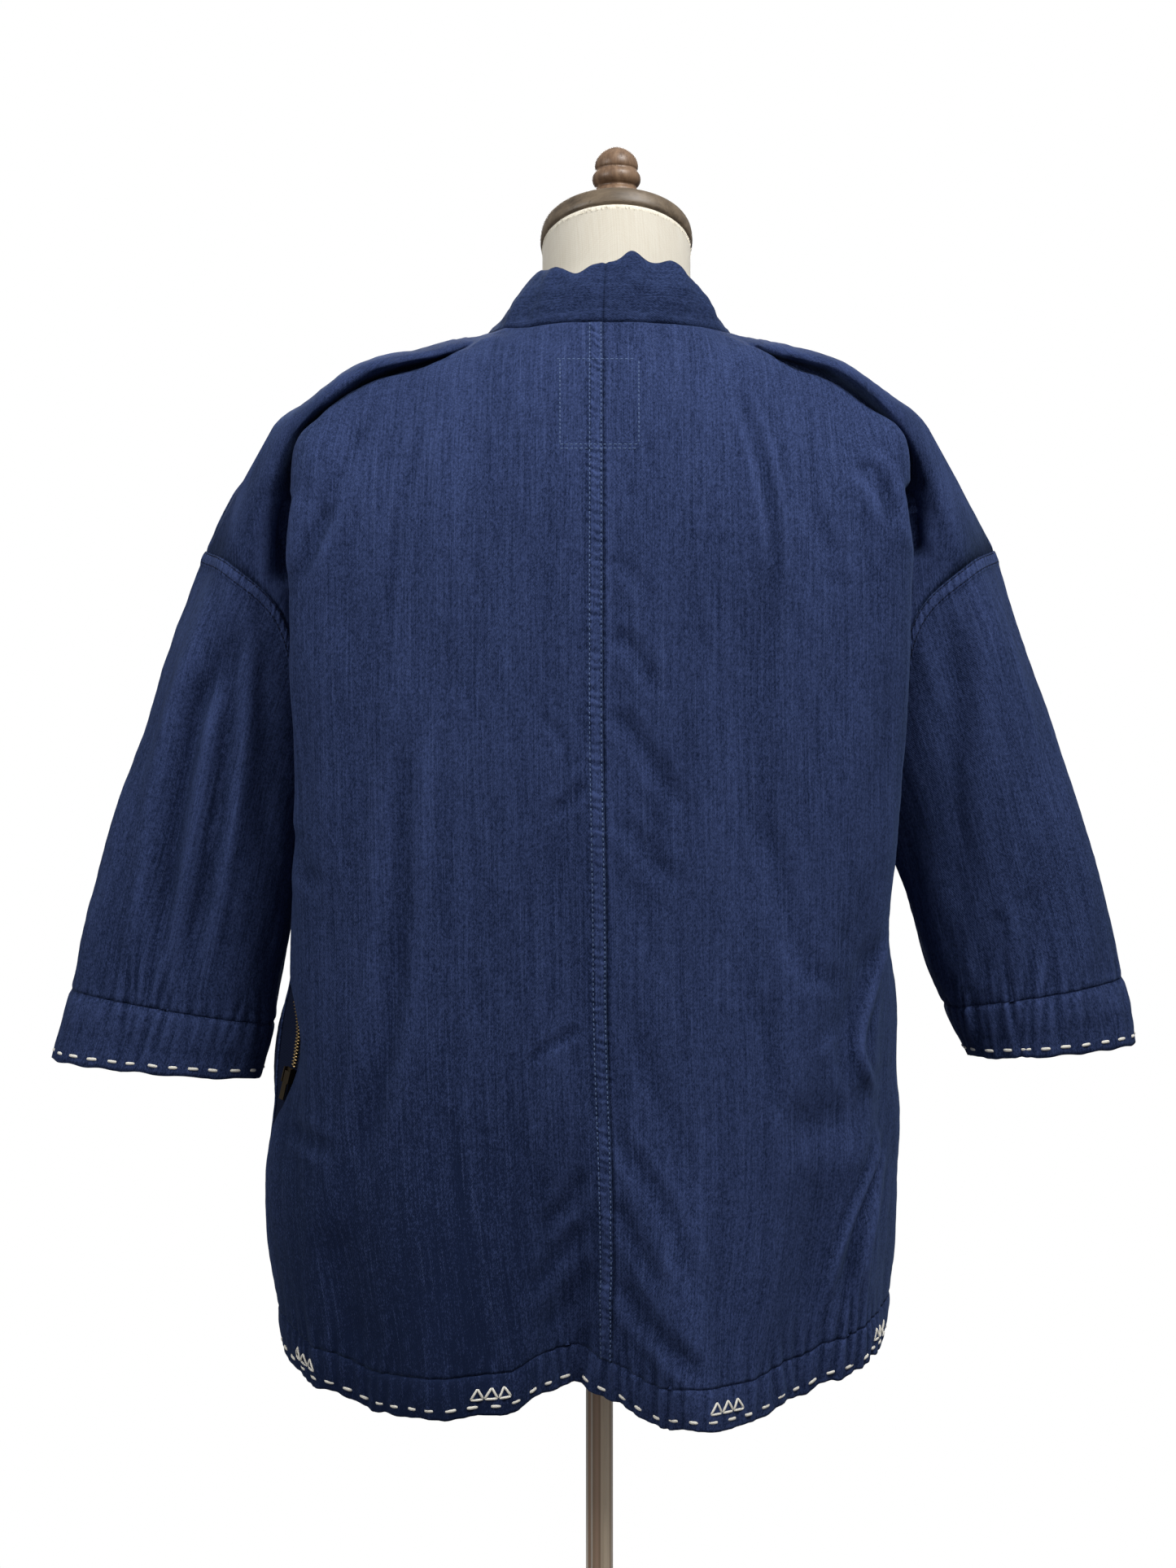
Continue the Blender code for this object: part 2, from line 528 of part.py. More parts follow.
def zip_parts(pieces):
    """The tape, the closed chain, and the slider with its pull tab at the foot of the chain."""
    named = {piece.name: piece for piece in pieces}
    back, front = named["back_left"], named["front_left"]
    heights = back.grid[:, -1, 2]
    rows = [r for r in range(len(heights)) if .79 < heights[r] < .955]
    depth = CLOTH + 2 * THREAD
    behind, far_behind = (back.grid[rows, c] - back.normals[rows, c] * depth for c in (-1, -2))
    before, far_before = (front.grid[rows, c] - front.normals[rows, c] * depth for c in (-1, -2))
    inward = back.normals[rows, -1] + front.normals[rows, -1]
    inward /= np.linalg.norm(inward, axis=-1, keepdims=True)

    def tape_point(row, w):
        """A point of the tape's outer face at a fractional row, and w of the way to the front lip."""
        low = min(int(row), len(rows) - 2)
        t = row - low
        a = behind[low] * (1 - t) + behind[low + 1] * t
        b = before[low] * (1 - t) + before[low + 1] * t
        n = inward[low] * (1 - t) + inward[low + 1] * t
        sag = TAPE_SAG * min(1.0, np.linalg.norm(b - a) / .020)
        return a + (b - a) * w - n * sag * 4 * w * (1 - w), b - a

    def chain_row(height):
        """The fractional tape row at a height."""
        return float(np.interp(height, heights[rows], range(len(rows))))

    flat = np.array([[far_behind[r], *(tape_point(r, w)[0] for w in (0, .2, .4, .6, .8, 1)), far_before[r]]
                     for r in range(len(rows))])
    wall(Piece("zip_tape", flat, .0009, (), slot="tape_cloth"))
    chain = []
    for height in np.linspace(SLIDER_HEIGHT + .0064, .914, 12):
        row = chain_row(height)
        w = CHAIN_TOP + (CHAIN_FOOT - CHAIN_TOP) * float(ease((.90 - height) / .05))
        half = .0024 / np.linalg.norm(tape_point(row, w)[1])
        chain.append([tape_point(row, w + k * half)[0] for k in (-1, 0, 1)])
    lifted = Piece("zip_chain", np.array(chain), .0016, (), slot="brass")
    lifted.grid = lifted.grid + lifted.normals * (.0016 + 3 * THREAD)
    wall(lifted)
    row = chain_row(SLIDER_HEIGHT)
    spot = tape_point(row, CHAIN_FOOT)[0]
    up = tape_point(row + .2, CHAIN_FOOT)[0] - tape_point(row - .2, CHAIN_FOOT)[0]
    up /= np.linalg.norm(up)
    across = tape_point(row, CHAIN_FOOT)[1]
    across = across - up * (across @ up)
    across /= np.linalg.norm(across)
    out = np.cross(up, across)
    if out[0] < 0:
        out = -out
    origin = spot + out * .0012
    shape = ((-.0042, 0), (.0042, 0), (.0042, .0044), (.0031, .0044), (.0031, .0018), (-.0031, .0018),
             (-.0031, .0044), (-.0042, .0044))
    extruded("zip_slider", origin, across, out, up, shape, -.0055, .0055, "brass")
    hinge = origin + out * .0034 + up * .0022
    tab = ((-.0025, -.00055), (.0025, -.00055), (.0025, .00055), (-.0025, .00055))
    extruded("zip_pull", hinge, across, out, up, tab, -.0200, .0011, "brass")


def extruded(name, origin, across, out, up, shape, low, high, slot):
    """A closed bar of the given cross-section between two heights of a local frame."""
    verts = []
    for height in (low, high):
        verts += [origin + across * a + out * b + up * height for a, b in shape]
    count = len(shape)
    faces = [tuple(range(count))[::-1], tuple(range(count, 2 * count))]
    faces += [(k, (k + 1) % count, (k + 1) % count + count, k + count) for k in range(count)]
    if np.cross(across, out) @ up < 0:
        faces = [face[::-1] for face in faces]
    return finish(name, verts, faces, slot, smooth=False)


TAPE_SAG = .0030
SLIDER_HEIGHT = .861
CHAIN_TOP = .36
CHAIN_FOOT = .50

# Sections of the dress form: height, half width, depth in front, depth behind.
FORM = {
    "foot": (.8000, .140, .098, .098), "hip": (.865, .166, .110, .112), "high_hip": (.940, .150, .102, .106),
    "waist": (1.030, .122, .096, .088), "ribs": (1.110, .138, .108, .096), "bust": (1.185, .154, .116, .104),
    "chest": (1.255, .164, .106, .104), "armhole": (1.305, .172, .088, .096), "cap": (1.340, .176, .072, .080),
    "tip": (1.362, .168, .058, .062), "shoulder": (1.379, .142, .042, .042), "slope": (1.390, .105, .036, .042),
    "neck_root": (1.3985, .070, .043, .047), "neck_low": (1.420, .0575, .0510, .0520),
    "neck": (1.440, .0545, .0510, .0510),
}
NECK_X = -.0125
NECK_DEPTH = .0510
NECK_JOINT = 1.4645
NECK_TILT = .385
CAP_HEIGHT = .0150

# Profile of the finial under its top: radius and height of each ring.
FINIAL = ((.0060, 1.5379), (.0108, 1.5350), (.0144, 1.5308), (.0161, 1.5262), (.0154, 1.5245), (.0153, 1.5228),
          (.0160, 1.5190), (.0175, 1.5162), (.0179, 1.5138), (.0174, 1.5112), (.0150, 1.5092), (.0122, 1.5080),
          (.0120, 1.5050), (.0138, 1.5015), (.0168, 1.4990), (.0172, 1.4955), (.0172, 1.4890))


def neck_shift(height):
    """The form leans: its axis moves from the pole to the neck's centre."""
    return NECK_X * float(ease((height - 1.20) / .20))


def form_torso(pieces):
    """The limbless linen form. Its shoulders follow the underside of the cloth that hangs on them."""
    around = 28
    table = np.array(list(FORM.values()))
    rows = thread(table, steps((1, 2, 2, 2, 2, 2, 2, 2, 1, 2, 2, 2, 2, 1)))
    angles = [2 * math.pi * k / around for k in range(around)]
    verts = []
    for height, half, front, behind in rows:
        square = float(ease((height - 1.1) / .1) * ease((1.385 - height) / .05))
        for angle in angles:
            power = 1 - .12 * square
            across = math.copysign(abs(math.cos(angle)) ** power, math.cos(angle))
            deep = math.copysign(abs(math.sin(angle)) ** power, math.sin(angle))
            depth = behind if deep > 0 else front
            verts.append([neck_shift(height) + half * across, depth * deep, height])
    for angle in angles:
        spot = [NECK_X + .0545 * math.cos(angle), NECK_DEPTH * math.sin(angle)]
        verts.append([*spot, NECK_JOINT + spot[1] * NECK_TILT])
    verts = np.array(verts)
    inner = []
    faces = []
    for piece in pieces:
        start = len(inner)
        rows_count, columns = piece.grid.shape[:2]
        inner += [Vector(v) for v in (piece.grid - piece.normals * piece.depth).reshape(-1, 3)]
        outer = piece.grid.reshape(-1, 3)
        if piece.ring:
            continue
        for r in range(rows_count - 1):
            for c in range(columns - 1):
                a = r * columns + c
                for part in halves(outer, (a, a + 1, a + columns + 1, a + columns)):
                    faces.append(tuple(start + k for k in part))
    cloth = BVHTree.FromPolygons(inner, faces)

    def room(spot):
        """How far the cloth's underside is above a spot, or nothing where no cloth is above."""
        hit = cloth.ray_cast(Vector((spot[0], spot[1], spot[2] - .05)), Vector((0, 0, 1)), .12)
        return None if hit[0] is None else hit[0].z - spot[2]

    shoulder = [k for k, v in enumerate(verts) if 1.30 < v[2] < 1.43 and abs(v[0] - NECK_X) > .058]
    for number in shoulder:
        free = room(verts[number])
        if free is not None:
            verts[number, 2] += (free - .0006) * float(ease((.018 - free) / .011))
    faces = []
    levels = len(verts) // around
    for r in range(levels - 1):
        for k in range(around):
            a = r * around + k
            b = r * around + (k + 1) % around
            faces.append((a, b, b + around, a + around))
    near = [quad for quad in faces if any(k in shoulder for k in quad)]
    for _ in range(8):
        for quad in near:
            for u, v in ((u / 4, v / 4) for u in range(5) for v in range(5)):
                shares = np.array(((1 - u) * (1 - v), u * (1 - v), u * v, (1 - u) * v))
                free = room(shares @ verts[list(quad)])
                if free is not None and free < .0009:
                    for k, share in zip(quad, shares):
                        verts[k, 2] -= (.0009 - free) * (share > .2) * (k in shoulder)
    faces.append(tuple(range(around))[::-1])
    faces.append(tuple(range((levels - 1) * around, levels * around)))
    return finish("form_torso", verts, faces, "linen")


def turned(name, profile, slot, place_at, tilt=0.0, steps_round=40):
    """A turned solid: the profile is (radius, height) down the outside, turned with a screw modifier."""
    mesh = bpy.data.meshes.new(name)
    mesh.from_pydata([(r, 0, z) for r, z in profile], [(k, k + 1) for k in range(len(profile) - 1)], [])
    item = bpy.data.objects.new(name, mesh)
    place(item, name, slot)
    turn = item.modifiers.new("turn", "SCREW")
    turn.axis = "Z"
    turn.steps = steps_round
    turn.render_steps = steps_round
    turn.use_merge_vertices = True
    turn.merge_threshold = .00001
    turn.use_smooth_shade = True
    item.location = place_at
    item.rotation_euler = (tilt, 0, 0)
    return item


def rounded(corners, radius, cuts=3):
    """A profile with its inner corners rounded."""
    found = [corners[0]]
    for before, corner, after in zip(corners, corners[1:], corners[2:]):
        a, b, c = (np.array(p, float) for p in (before, corner, after))
        back, ahead = (a - b) / np.linalg.norm(a - b), (c - b) / np.linalg.norm(c - b)
        reach = min(radius, .45 * np.linalg.norm(a - b), .45 * np.linalg.norm(c - b))
        for k in range(cuts + 1):
            t = k / cuts
            spot = (1 - t) ** 2 * (b + back * reach) + 2 * t * (1 - t) * b + t * t * (b + ahead * reach)
            found.append(tuple(spot))
    return found + [corners[-1]]


def stand_parts():
    """The neck cap, the finial, the pole and the round base."""
    lift = .0003
    cap = rounded([(0, CAP_HEIGHT), (.0555, CAP_HEIGHT - .0003), (.0562, .0030), (.0548, 0), (0, 0)], .0035, 2)
    turned("neck_cap", cap, "cap_wood", (NECK_X, 0, NECK_JOINT + lift), math.atan(NECK_TILT), 36)
    around = 24
    plane = NECK_JOINT + lift + CAP_HEIGHT / math.cos(math.atan(NECK_TILT)) + lift
    verts = [(NECK_X, 0, 1.5390)]
    for radius, height in FINIAL:
        for k in range(around):
            angle = 2 * math.pi * k / around
            verts.append((NECK_X + radius * math.cos(angle), radius * math.sin(angle), height))
    for k in range(around):
        angle = 2 * math.pi * k / around
        y = .0185 * math.sin(angle)
        verts.append((NECK_X + .0185 * math.cos(angle), y, plane + y * NECK_TILT + .0001))
    faces = [(0, 1 + k, 1 + (k + 1) % around) for k in range(around)]
    for level in range(len(FINIAL)):
        for k in range(around):
            a = 1 + level * around + k
            b = 1 + level * around + (k + 1) % around
            faces.append((a, a + around, b + around, b))
    faces.append(tuple(1 + len(FINIAL) * around + k for k in range(around))[::-1])
    finish("finial", verts, faces, "finial_wood")
    half = .0099
    lobe = .0012
    shape = []
    for k in range(4):
        angle = k * math.pi / 2
        for reach, side in ((half, -.85), (half, -.40), (half - lobe, -.32), (half - lobe, .32), (half, .40),
                            (half, .85)):
            spot = (reach, side * half)
            shape.append((spot[0] * math.cos(angle) - spot[1] * math.sin(angle),
                          spot[0] * math.sin(angle) + spot[1] * math.cos(angle)))
    extruded("pole", np.zeros(3), np.array((1.0, 0, 0)), np.array((0, 1.0, 0)), np.array((0, 0, 1.0)),
             shape, .0453, .7997, "pole_metal")
    base = rounded([(0, .0450), (.0210, .0450), (.0240, .0250), (.0600, .0170), (.1850, .0110), (.1850, 0),
                    (0, 0)], .004, 2)
    turned("base", base, "base_metal", (0, 0, 0), 0, 44)


def main():
    """Clears the scene and builds every part."""
    for item in list(bpy.data.objects):
        bpy.data.objects.remove(item)
    pieces = cloth_pieces()
    for piece in pieces:
        wall(piece)
    zip_parts(pieces)
    form_torso(pieces)
    stand_parts()


main()
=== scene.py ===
"""Looks of an indigo kimono jacket on a limbless dress form: cloth, stitching, zip, linen, wood and metal."""

import logging
import math
from dataclasses import dataclass, field
from enum import Enum
from typing import Any, Sequence

import bpy
import numpy as np
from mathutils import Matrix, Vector
from mathutils.bvhtree import BVHTree
from mathutils.kdtree import KDTree


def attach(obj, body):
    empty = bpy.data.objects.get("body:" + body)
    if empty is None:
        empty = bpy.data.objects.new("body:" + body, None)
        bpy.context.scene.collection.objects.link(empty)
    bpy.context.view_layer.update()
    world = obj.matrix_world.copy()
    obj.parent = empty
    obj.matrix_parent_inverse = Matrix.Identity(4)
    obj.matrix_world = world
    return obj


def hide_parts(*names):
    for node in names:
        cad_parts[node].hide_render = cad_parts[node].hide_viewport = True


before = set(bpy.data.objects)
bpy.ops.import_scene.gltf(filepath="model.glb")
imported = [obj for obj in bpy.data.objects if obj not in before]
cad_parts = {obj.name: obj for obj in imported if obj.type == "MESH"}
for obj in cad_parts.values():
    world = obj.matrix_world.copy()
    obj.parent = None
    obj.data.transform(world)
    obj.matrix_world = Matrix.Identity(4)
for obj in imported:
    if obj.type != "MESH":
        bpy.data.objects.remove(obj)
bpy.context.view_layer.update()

LOG = logging.getLogger("jacket")
Array = np.ndarray
Point = tuple[float, float, float]

# The part's two bodies.
JACKET_BODY = "jacket_and_form"
PULL_BODY = "pull_tab"

# Material slots of the cloth: body and sleeves, and the doubled bands.
CLOTH = "indigo_cloth"
BAND = "indigo_band"

# Places on the guide lines, counted in rows from the hem: the band's seam, the underarm, the shoulder tip
# and the neckline.
HEM_SEAM = 0.27
UNDERARM = 4
TIP = 8
NECKLINE = 12

# Height of the hem in metres, before its waves.
HEM = .648

# Felled seams: the first row of stitches from the seam, the second from the strip's edge, and both strips.
FIRST_ROW = .0013
LAST_ROW = .0008
BACK_FELL = .0100
SLEEVE_FELL = .0092

# The photograph's camera: its place, the width of a pixel at 1 metre, and the frame in pixels.
EYE = (0.0084, 1.6, 1.07)
PIXEL = 0.000375
FRAME_SIZE = (1445, 1927)

# How far behind the pole the back, the sleeves and the cuffs lie, for places read off the photograph.
BACK_Y = .13
SLEEVE_Y = .04
CUFF_Y = .03

WHITE = (1, 1, 1, 1)


class Side(Enum):
    """Side of the wearer."""

    LEFT = "left"
    RIGHT = "right"


class Hold(Enum):
    """How a sheet of cloth is held."""

    DRAPED = "draped"
    GATHERED = "gathered"


# Guide lines of the back, wearer's left, one row per section from the hem to the neckline.
# Each cell is x, y, z: centre back, mid back, outer back, lip of the fold, crease, roll, crown, outer edge.
BACK: dict[str, tuple[Point, ...]] = {
    "hem": ((0, .122, .648), (.07, .133, .648), (.14, .127, .648), (.193, .098, .648),
            (.215, .068, .648), (.2255, .047, .648), (.2281, .0366, .648), (.23, .026, .648)),
    "low": ((0, .127, .75), (.07, .133, .75), (.143, .129, .75), (.199, .1, .75),
            (.223, .07, .75), (.236, .049, .75), (.2391, .039, .75), (.2415, .029, .75)),
    "pocket": ((0, .128, .86), (.07, .132, .86), (.145, .129, .86), (.198, .1, .86),
               (.214, .072, .86), (.224, .054, .86), (.2267, .0465, .86), (.229, .039, .86)),
    "waist": ((0, .129, .945), (.07, .132, .945), (.145, .129, .95), (.203, .098, .958),
              (.2165, .068, .96), (.2195, .05, .96), (.2199, .0419, .96), (.22, .034, .96)),
    "underarm": ((0, .13, 1.), (.07, .132, 1.), (.146, .13, 1.01), (.209, .098, 1.04),
                 (.213, .06, 1.045), (.211, .036, 1.045), (.2096, .024, 1.045), (.208, .012, 1.045)),
    "blade": ((0, .13, 1.07), (.07, .133, 1.07), (.146, .131, 1.08), (.2125, .102, 1.13),
              (.208, .06, 1.13), (.2072, .047, 1.13), (.21, .0435, 1.1291), (.2135, .0405, 1.128)),
    "fold": ((0, .13, 1.13), (.07, .133, 1.13), (.144, .131, 1.14), (.2135, .104, 1.205),
             (.2105, .042, 1.203), (.218, .047, 1.2), (.2229, .0504, 1.1972), (.228, .054, 1.194)),
    "cap": ((0, .129, 1.185), (.068, .132, 1.187), (.14, .13, 1.195), (.2125, .103, 1.265),
            (.214, .038, 1.262), (.236, .058, 1.262), (.25, .0546, 1.2469), (.264, .046, 1.227)),
    "tip": ((0, .126, 1.23), (.065, .129, 1.233), (.133, .127, 1.243), (.2085, .096, 1.31),
            (.2155, .052, 1.302), (.219, .08, 1.3085), (.232, .05, 1.3247), (.2925, -.012, 1.243)),
    "outer": ((0, .122, 1.262), (.06, .125, 1.265), (.123, .121, 1.275), (.189, .088, 1.3288),
              (.1931, .066, 1.332), (.1945, .09, 1.3348), (.2019, .064, 1.3461), (.264, -.0155, 1.298)),
    "slope": ((0, .115, 1.297), (.053, .117, 1.299), (.106, .111, 1.307), (.1586, .084, 1.3485),
              (.1616, .064, 1.354), (.1625, .088, 1.3575), (.168, .066, 1.3672), (.215, -.016, 1.3505)),
    "near": ((0, .101, 1.343), (.04, .101, 1.345), (.079, .094, 1.352), (.1121, .077, 1.3665),
             (.1138, .06, 1.371), (.1146, .078, 1.3712), (.1172, .055, 1.383), (.15, -.016, 1.3885)),
    "neckline": ((0, .078, 1.394), (.027, .076, 1.394), (.05, .066, 1.394), (.066, .05, 1.395),
                 (.076, .03, 1.397), (.082, .008, 1.4005), (.0835, -.003, 1.4008), (.084, -.014, 1.4)),
}

# Guide lines of the front: front edge, inner, middle, outer, and the armhole, or none below the underarm.
FRONT: dict[str, tuple[Point | None, ...]] = {
    "hem": ((.075, -.128, .648), (.125, -.128, .648), (.176, -.107, .648), (.218, -.055, .648), None),
    "low": ((.075, -.128, .750), (.125, -.129, .750), (.182, -.108, .750), (.230, -.052, .750), None),
    "pocket": ((.075, -.127, .860), (.125, -.129, .860), (.180, -.107, .860), (.2255, -.050, .860), None),
    "waist": ((.076, -.127, .960), (.125, -.129, .960), (.174, -.108, .960), (.212, -.052, .960), None),
    "underarm": ((.077, -.128, 1.045), (.124, -.13, 1.045), (.17, -.111, 1.045), (.201, -.06, 1.045), None),
    "breast": ((.079, -.128, 1.130), (.122, -.130, 1.130), (.166, -.115, 1.130), (.1960, -.078, 1.130),
               (.2120, -.030, 1.125)),
    "chest": ((.082, -.122, 1.215), (.120, -.125, 1.213), (.163, -.115, 1.210), (.2020, -.086, 1.207),
              (.2330, -.056, 1.192)),
    "yoke": ((.086, -.096, 1.310), (.124, -.098, 1.303), (.168, -.093, 1.288), (.2170, -.075, 1.262),
             (.2670, -.050, 1.226)),
    "ridge": ((.087, -.055, 1.374), (.135, -.058, 1.364), (.185, -.057, 1.341), (.2360, -.048, 1.297),
              (.2850, -.032, 1.241)),
}

# Free edge of the collar, from the centre back round the neck and down the front to the hem.
COLLAR_BACK: tuple[Point, ...] = (
    (0, .0665, 1.4390), (.0225, .0645, 1.4385), (.0350, .0530, 1.4390), (.0420, .0370, 1.4410),
    (.0450, .0190, 1.4440), (.0455, .0010, 1.4450), (.0455, -.0080, 1.4440),
    (.0450, -.0170, 1.4420),
)
COLLAR_FRONT: dict[str, Point] = {
    "hem": (.0215, -.136, .648), "low": (.0215, -.136, .750), "pocket": (.0215, -.136, .860),
    "waist": (.0220, -.136, .960), "underarm": (.0225, -.137, 1.045), "breast": (.0240, -.137, 1.130),
    "chest": (.0270, -.134, 1.215), "yoke": (.0365, -.111, 1.318), "ridge": (.0455, -.062, 1.407),
}

# Sleeve sections, one row per height: fraction down the sleeve, outer x, z, inner x, z, half depth, centre y.
SLEEVES: dict[Side, tuple[tuple[float, ...], ...]] = {
    Side.LEFT: ((0.00, .2925, 1.243, .2080, 1.045, .050, 0), (0.14, .3085, 1.200, .2150, 1.020, .052, 0),
                (0.32, .3260, 1.142, .2235, .990, .052, .001), (0.52, .3450, 1.078, .2290, .957, .049, .001),
                (0.72, .3640, 1.018, .2340, .928, .045, 0), (0.88, .3795, .966, .2370, .906, .042, 0),
                (1.00, .3890, .9200, .2390, .8940, .0405, 0), (1.50, .3960, .8935, .2440, .8740, .0405, 0),
                (2.00, .4025, .8690, .2495, .8545, .0410, 0)),
    Side.RIGHT: ((0.00, .2925, 1.243, .2080, 1.045, .050, 0), (0.14, .3070, 1.200, .2170, 1.020, .053, 0),
                 (0.32, .3250, 1.142, .2280, .990, .055, .001), (0.52, .3440, 1.078, .2345, .962, .055, .001),
                 (0.72, .3620, 1.018, .2405, .940, .053, 0), (0.88, .3760, .966, .2470, .922, .051, 0),
                 (1.00, .3840, .9290, .2540, .9070, .050, 0), (1.50, .3910, .9030, .2620, .8885, .050, 0),
                 (2.00, .3930, .8815, .2705, .8705, .050, 0)),
}

# Rise of the hem: x, and how far the hem stands above level there, behind and in front.
HEM_BACK = ((-.225, .034), (-.190, .0215), (-.162, .0115), (-.136, .0015), (-.096, -.008), (-.058, -.008),
            (-.038, -.010), (-.007, .001), (.018, .0085), (.038, .006), (.064, -.003), (.104, -.005),
            (.153, -.006), (.196, .003), (.232, .016))
HEM_FRONT = ((-.225, .030), (-.170, .012), (-.110, .003), (-.060, 0), (.060, 0), (.130, .002), (.185, .007),
             (.232, .015))

# How far the centre back seam hangs off the middle: height, shift in x.
CENTRE_DRIFT = ((.60, -.0084), (.76, -.0084), (.94, -.0043), (1.13, -.0018), (1.40, -.0020), (1.44, -.0040))

# Waves of the collar's free edge: x of the wave, rise, width.
COLLAR_WAVES = ((.0170, -.0070, .0085), (-.0228, .0088, .0092), (-.0520, .0040, .0090), (.0330, .0015, .0060),
                (-.0700, -.0085, .0110))

# Hanging folds of the body: side of the garment, x at the top, z there, x at the hem, push out, width.
HANGING = (
    ("back", .120, .900, .100, .012, .034), ("back", .030, .860, .020, -.022, .022),
    ("back", -.030, .900, -.062, .028, .034), ("back", -.150, .980, -.140, -.010, .022),
    ("back", .175, .800, .168, -.006, .018), ("back", -.185, .900, -.178, .006, .018),
    ("front", .110, .980, .112, .008, .022), ("front", .150, .900, .158, -.009, .018),
    ("front", -.105, .960, -.104, .007, .022), ("front", -.145, .880, -.150, -.010, .018),
    ("front", .185, .860, .196, .006, .018), ("front", -.182, .820, -.188, .005, .018),
)


def ease(value: Any) -> Array:
    """Eases a value from 0 to 1 and holds it outside that range."""
    value = np.clip(value, 0, 1)
    return value * value * (3 - 2 * value)


def bell(value: Array, width: Any) -> Array:
    """1 at 0 and falling softly on both sides, to about a third at the width."""
    return np.exp(-(value / width) ** 2)


def along_table(table: Sequence[tuple[float, float]], value: Array) -> Array:
    """Reads a table of (place, amount) at the values, with eased steps between its places."""
    places, amounts = np.array(table, float).T
    spot = np.interp(value, places, np.arange(len(places)))
    low = np.clip(np.floor(spot).astype(int), 0, len(places) - 2)
    return amounts[low] + (amounts[low + 1] - amounts[low]) * ease(spot - low)


def thread(points: Any, where: Sequence[float]) -> Array:
    """Follows a smooth line through points.

    Args:
        points: The guide points, along axis 0.
        where: Places on the line, counted in guide points.

    Returns:
        The points at those places.
    """
    points = np.asarray(points, float)
    points = np.concatenate((2 * points[:1] - points[1:2], points, 2 * points[-1:] - points[-2:-1]))
    found = []
    for place in where:
        row = min(int(place + 1e-9), len(points) - 4)
        t = place - row
        p0, p1, p2, p3 = points[row:row + 4]
        d0, d1, d2 = (np.sqrt(np.maximum(np.linalg.norm(b - a, axis=-1, keepdims=True), 1e-7))
                      for a, b in ((p0, p1), (p1, p2), (p2, p3)))
        m1 = d1 * ((p1 - p0) / d0 - (p2 - p0) / (d0 + d1) + (p2 - p1) / d1)
        m2 = d1 * ((p2 - p1) / d1 - (p3 - p1) / (d1 + d2) + (p3 - p2) / d2)
        found.append((2 * t**3 - 3 * t**2 + 1) * p1 + (t**3 - 2 * t**2 + t) * m1
                     + (3 * t**2 - 2 * t**3) * p2 + (t**3 - t**2) * m2)
    return np.array(found)


def broken(points: Any, where: Sequence[float], corners: Sequence[int]) -> Array:
    """The same line as `thread` gives, with corners at the guide points in `corners`."""
    points = np.asarray(points, float)
    ends = [0, *corners, len(points) - 1]
    found = []
    for place in where:
        for first, last in zip(ends, ends[1:]):
            if place <= last + 1e-9:
                found.append(thread(points[first:last + 1], [place - first])[0])
                break
    return np.array(found)


def run_length(points: Array) -> Array:
    """Distance from the first point to each point along axis 0."""
    gaps = np.linalg.norm(np.diff(points, axis=0), axis=-1)
    return np.concatenate((np.zeros((1, *gaps.shape[1:])), np.cumsum(gaps, axis=0)))


def even_places(guide: Any, first: float, last: float, pitch: float) -> list[float]:
    """Places between two guide points that lie about a pitch apart along a guide line."""
    fine = np.linspace(first, last, 400)
    length = run_length(thread(guide, fine))
    count = max(2, round(length[-1] / pitch))
    places = np.interp(np.linspace(0, length[-1], count + 1), length, fine)
    return [float(p) for p in places]


def unit(vectors: Array) -> Array:
    """The vectors made one long."""
    return vectors / np.maximum(np.linalg.norm(vectors, axis=-1, keepdims=True), 1e-12)


def seen(line: Sequence[tuple[float, float]], depth: float) -> Array:
    """Turns points of the photograph's frame into x and z on a surface at a y of `depth`."""
    scale = PIXEL * (EYE[1] - depth)
    spots = np.array(line, float)
    return np.stack((EYE[0] + (FRAME_SIZE[0] / 2 - spots[:, 0]) * scale,
                     EYE[2] + (FRAME_SIZE[1] / 2 - spots[:, 1]) * scale), -1)


def bumpy(points: Array, size: float, seed: int, waves: int = 14) -> Array:
    """Smooth unevenness of about -1 to 1 at points in space, the same each run.

    Args:
        points: The points, with x, y, z on the last axis.
        size: Distance between rises, in metres.
        seed: Picks the pattern.
        waves: How many plane waves are added.

    Returns:
        One value for each point.
    """
    dice = np.random.default_rng(seed)
    ways = unit(dice.normal(size=(waves, 3))) * dice.uniform(.6, 1.5, (waves, 1)) * (math.tau / size)
    shift = dice.uniform(0, math.tau, waves)
    total = np.zeros(points.shape[:-1])
    for way, start in zip(ways, shift):
        total += np.sin(points @ way + start)
    return total / math.sqrt(waves / 2)


@dataclass(frozen=True)
class Crease:
    """A soft trough or ridge along a line of the photograph's frame.

    `rise` is in metres (below zero for a trough), `width` in pixels, `lip` the share of the rise that
    stands up on both sides of it.
    """

    name: str
    rise: float
    width: float
    lip: float
    line: tuple[tuple[float, float], ...]

    def lift(self, spots: Array, depth: float) -> Array:
        """Height of the crease at x, z spots on a surface at a y of `depth`."""
        line = seen(self.line, depth)
        line = thread(line, np.linspace(0, len(line) - 1, 4 * len(line)))
        length = run_length(line)
        width = self.width * PIXEL * (EYE[1] - depth)
        near = np.full(spots.shape[:-1], 1e9)
        place = np.zeros(spots.shape[:-1])
        for k in range(len(line) - 1):
            a, b = line[k], line[k + 1]
            way = b - a
            t = np.clip(((spots - a) @ way) / max(way @ way, 1e-12), 0, 1)
            gap = np.linalg.norm(spots - a - t[..., None] * way, axis=-1)
            closer = gap < near
            near = np.where(closer, gap, near)
            place = np.where(closer, length[k] + t * (length[k + 1] - length[k]), place)
        share = place / length[-1]
        fade = ease(share / .22) * ease((1 - share) / .30)
        d = near / width
        shape = np.exp(-d * d) - self.lip * bell(d - 1.9, .8)
        return self.rise * shape * fade


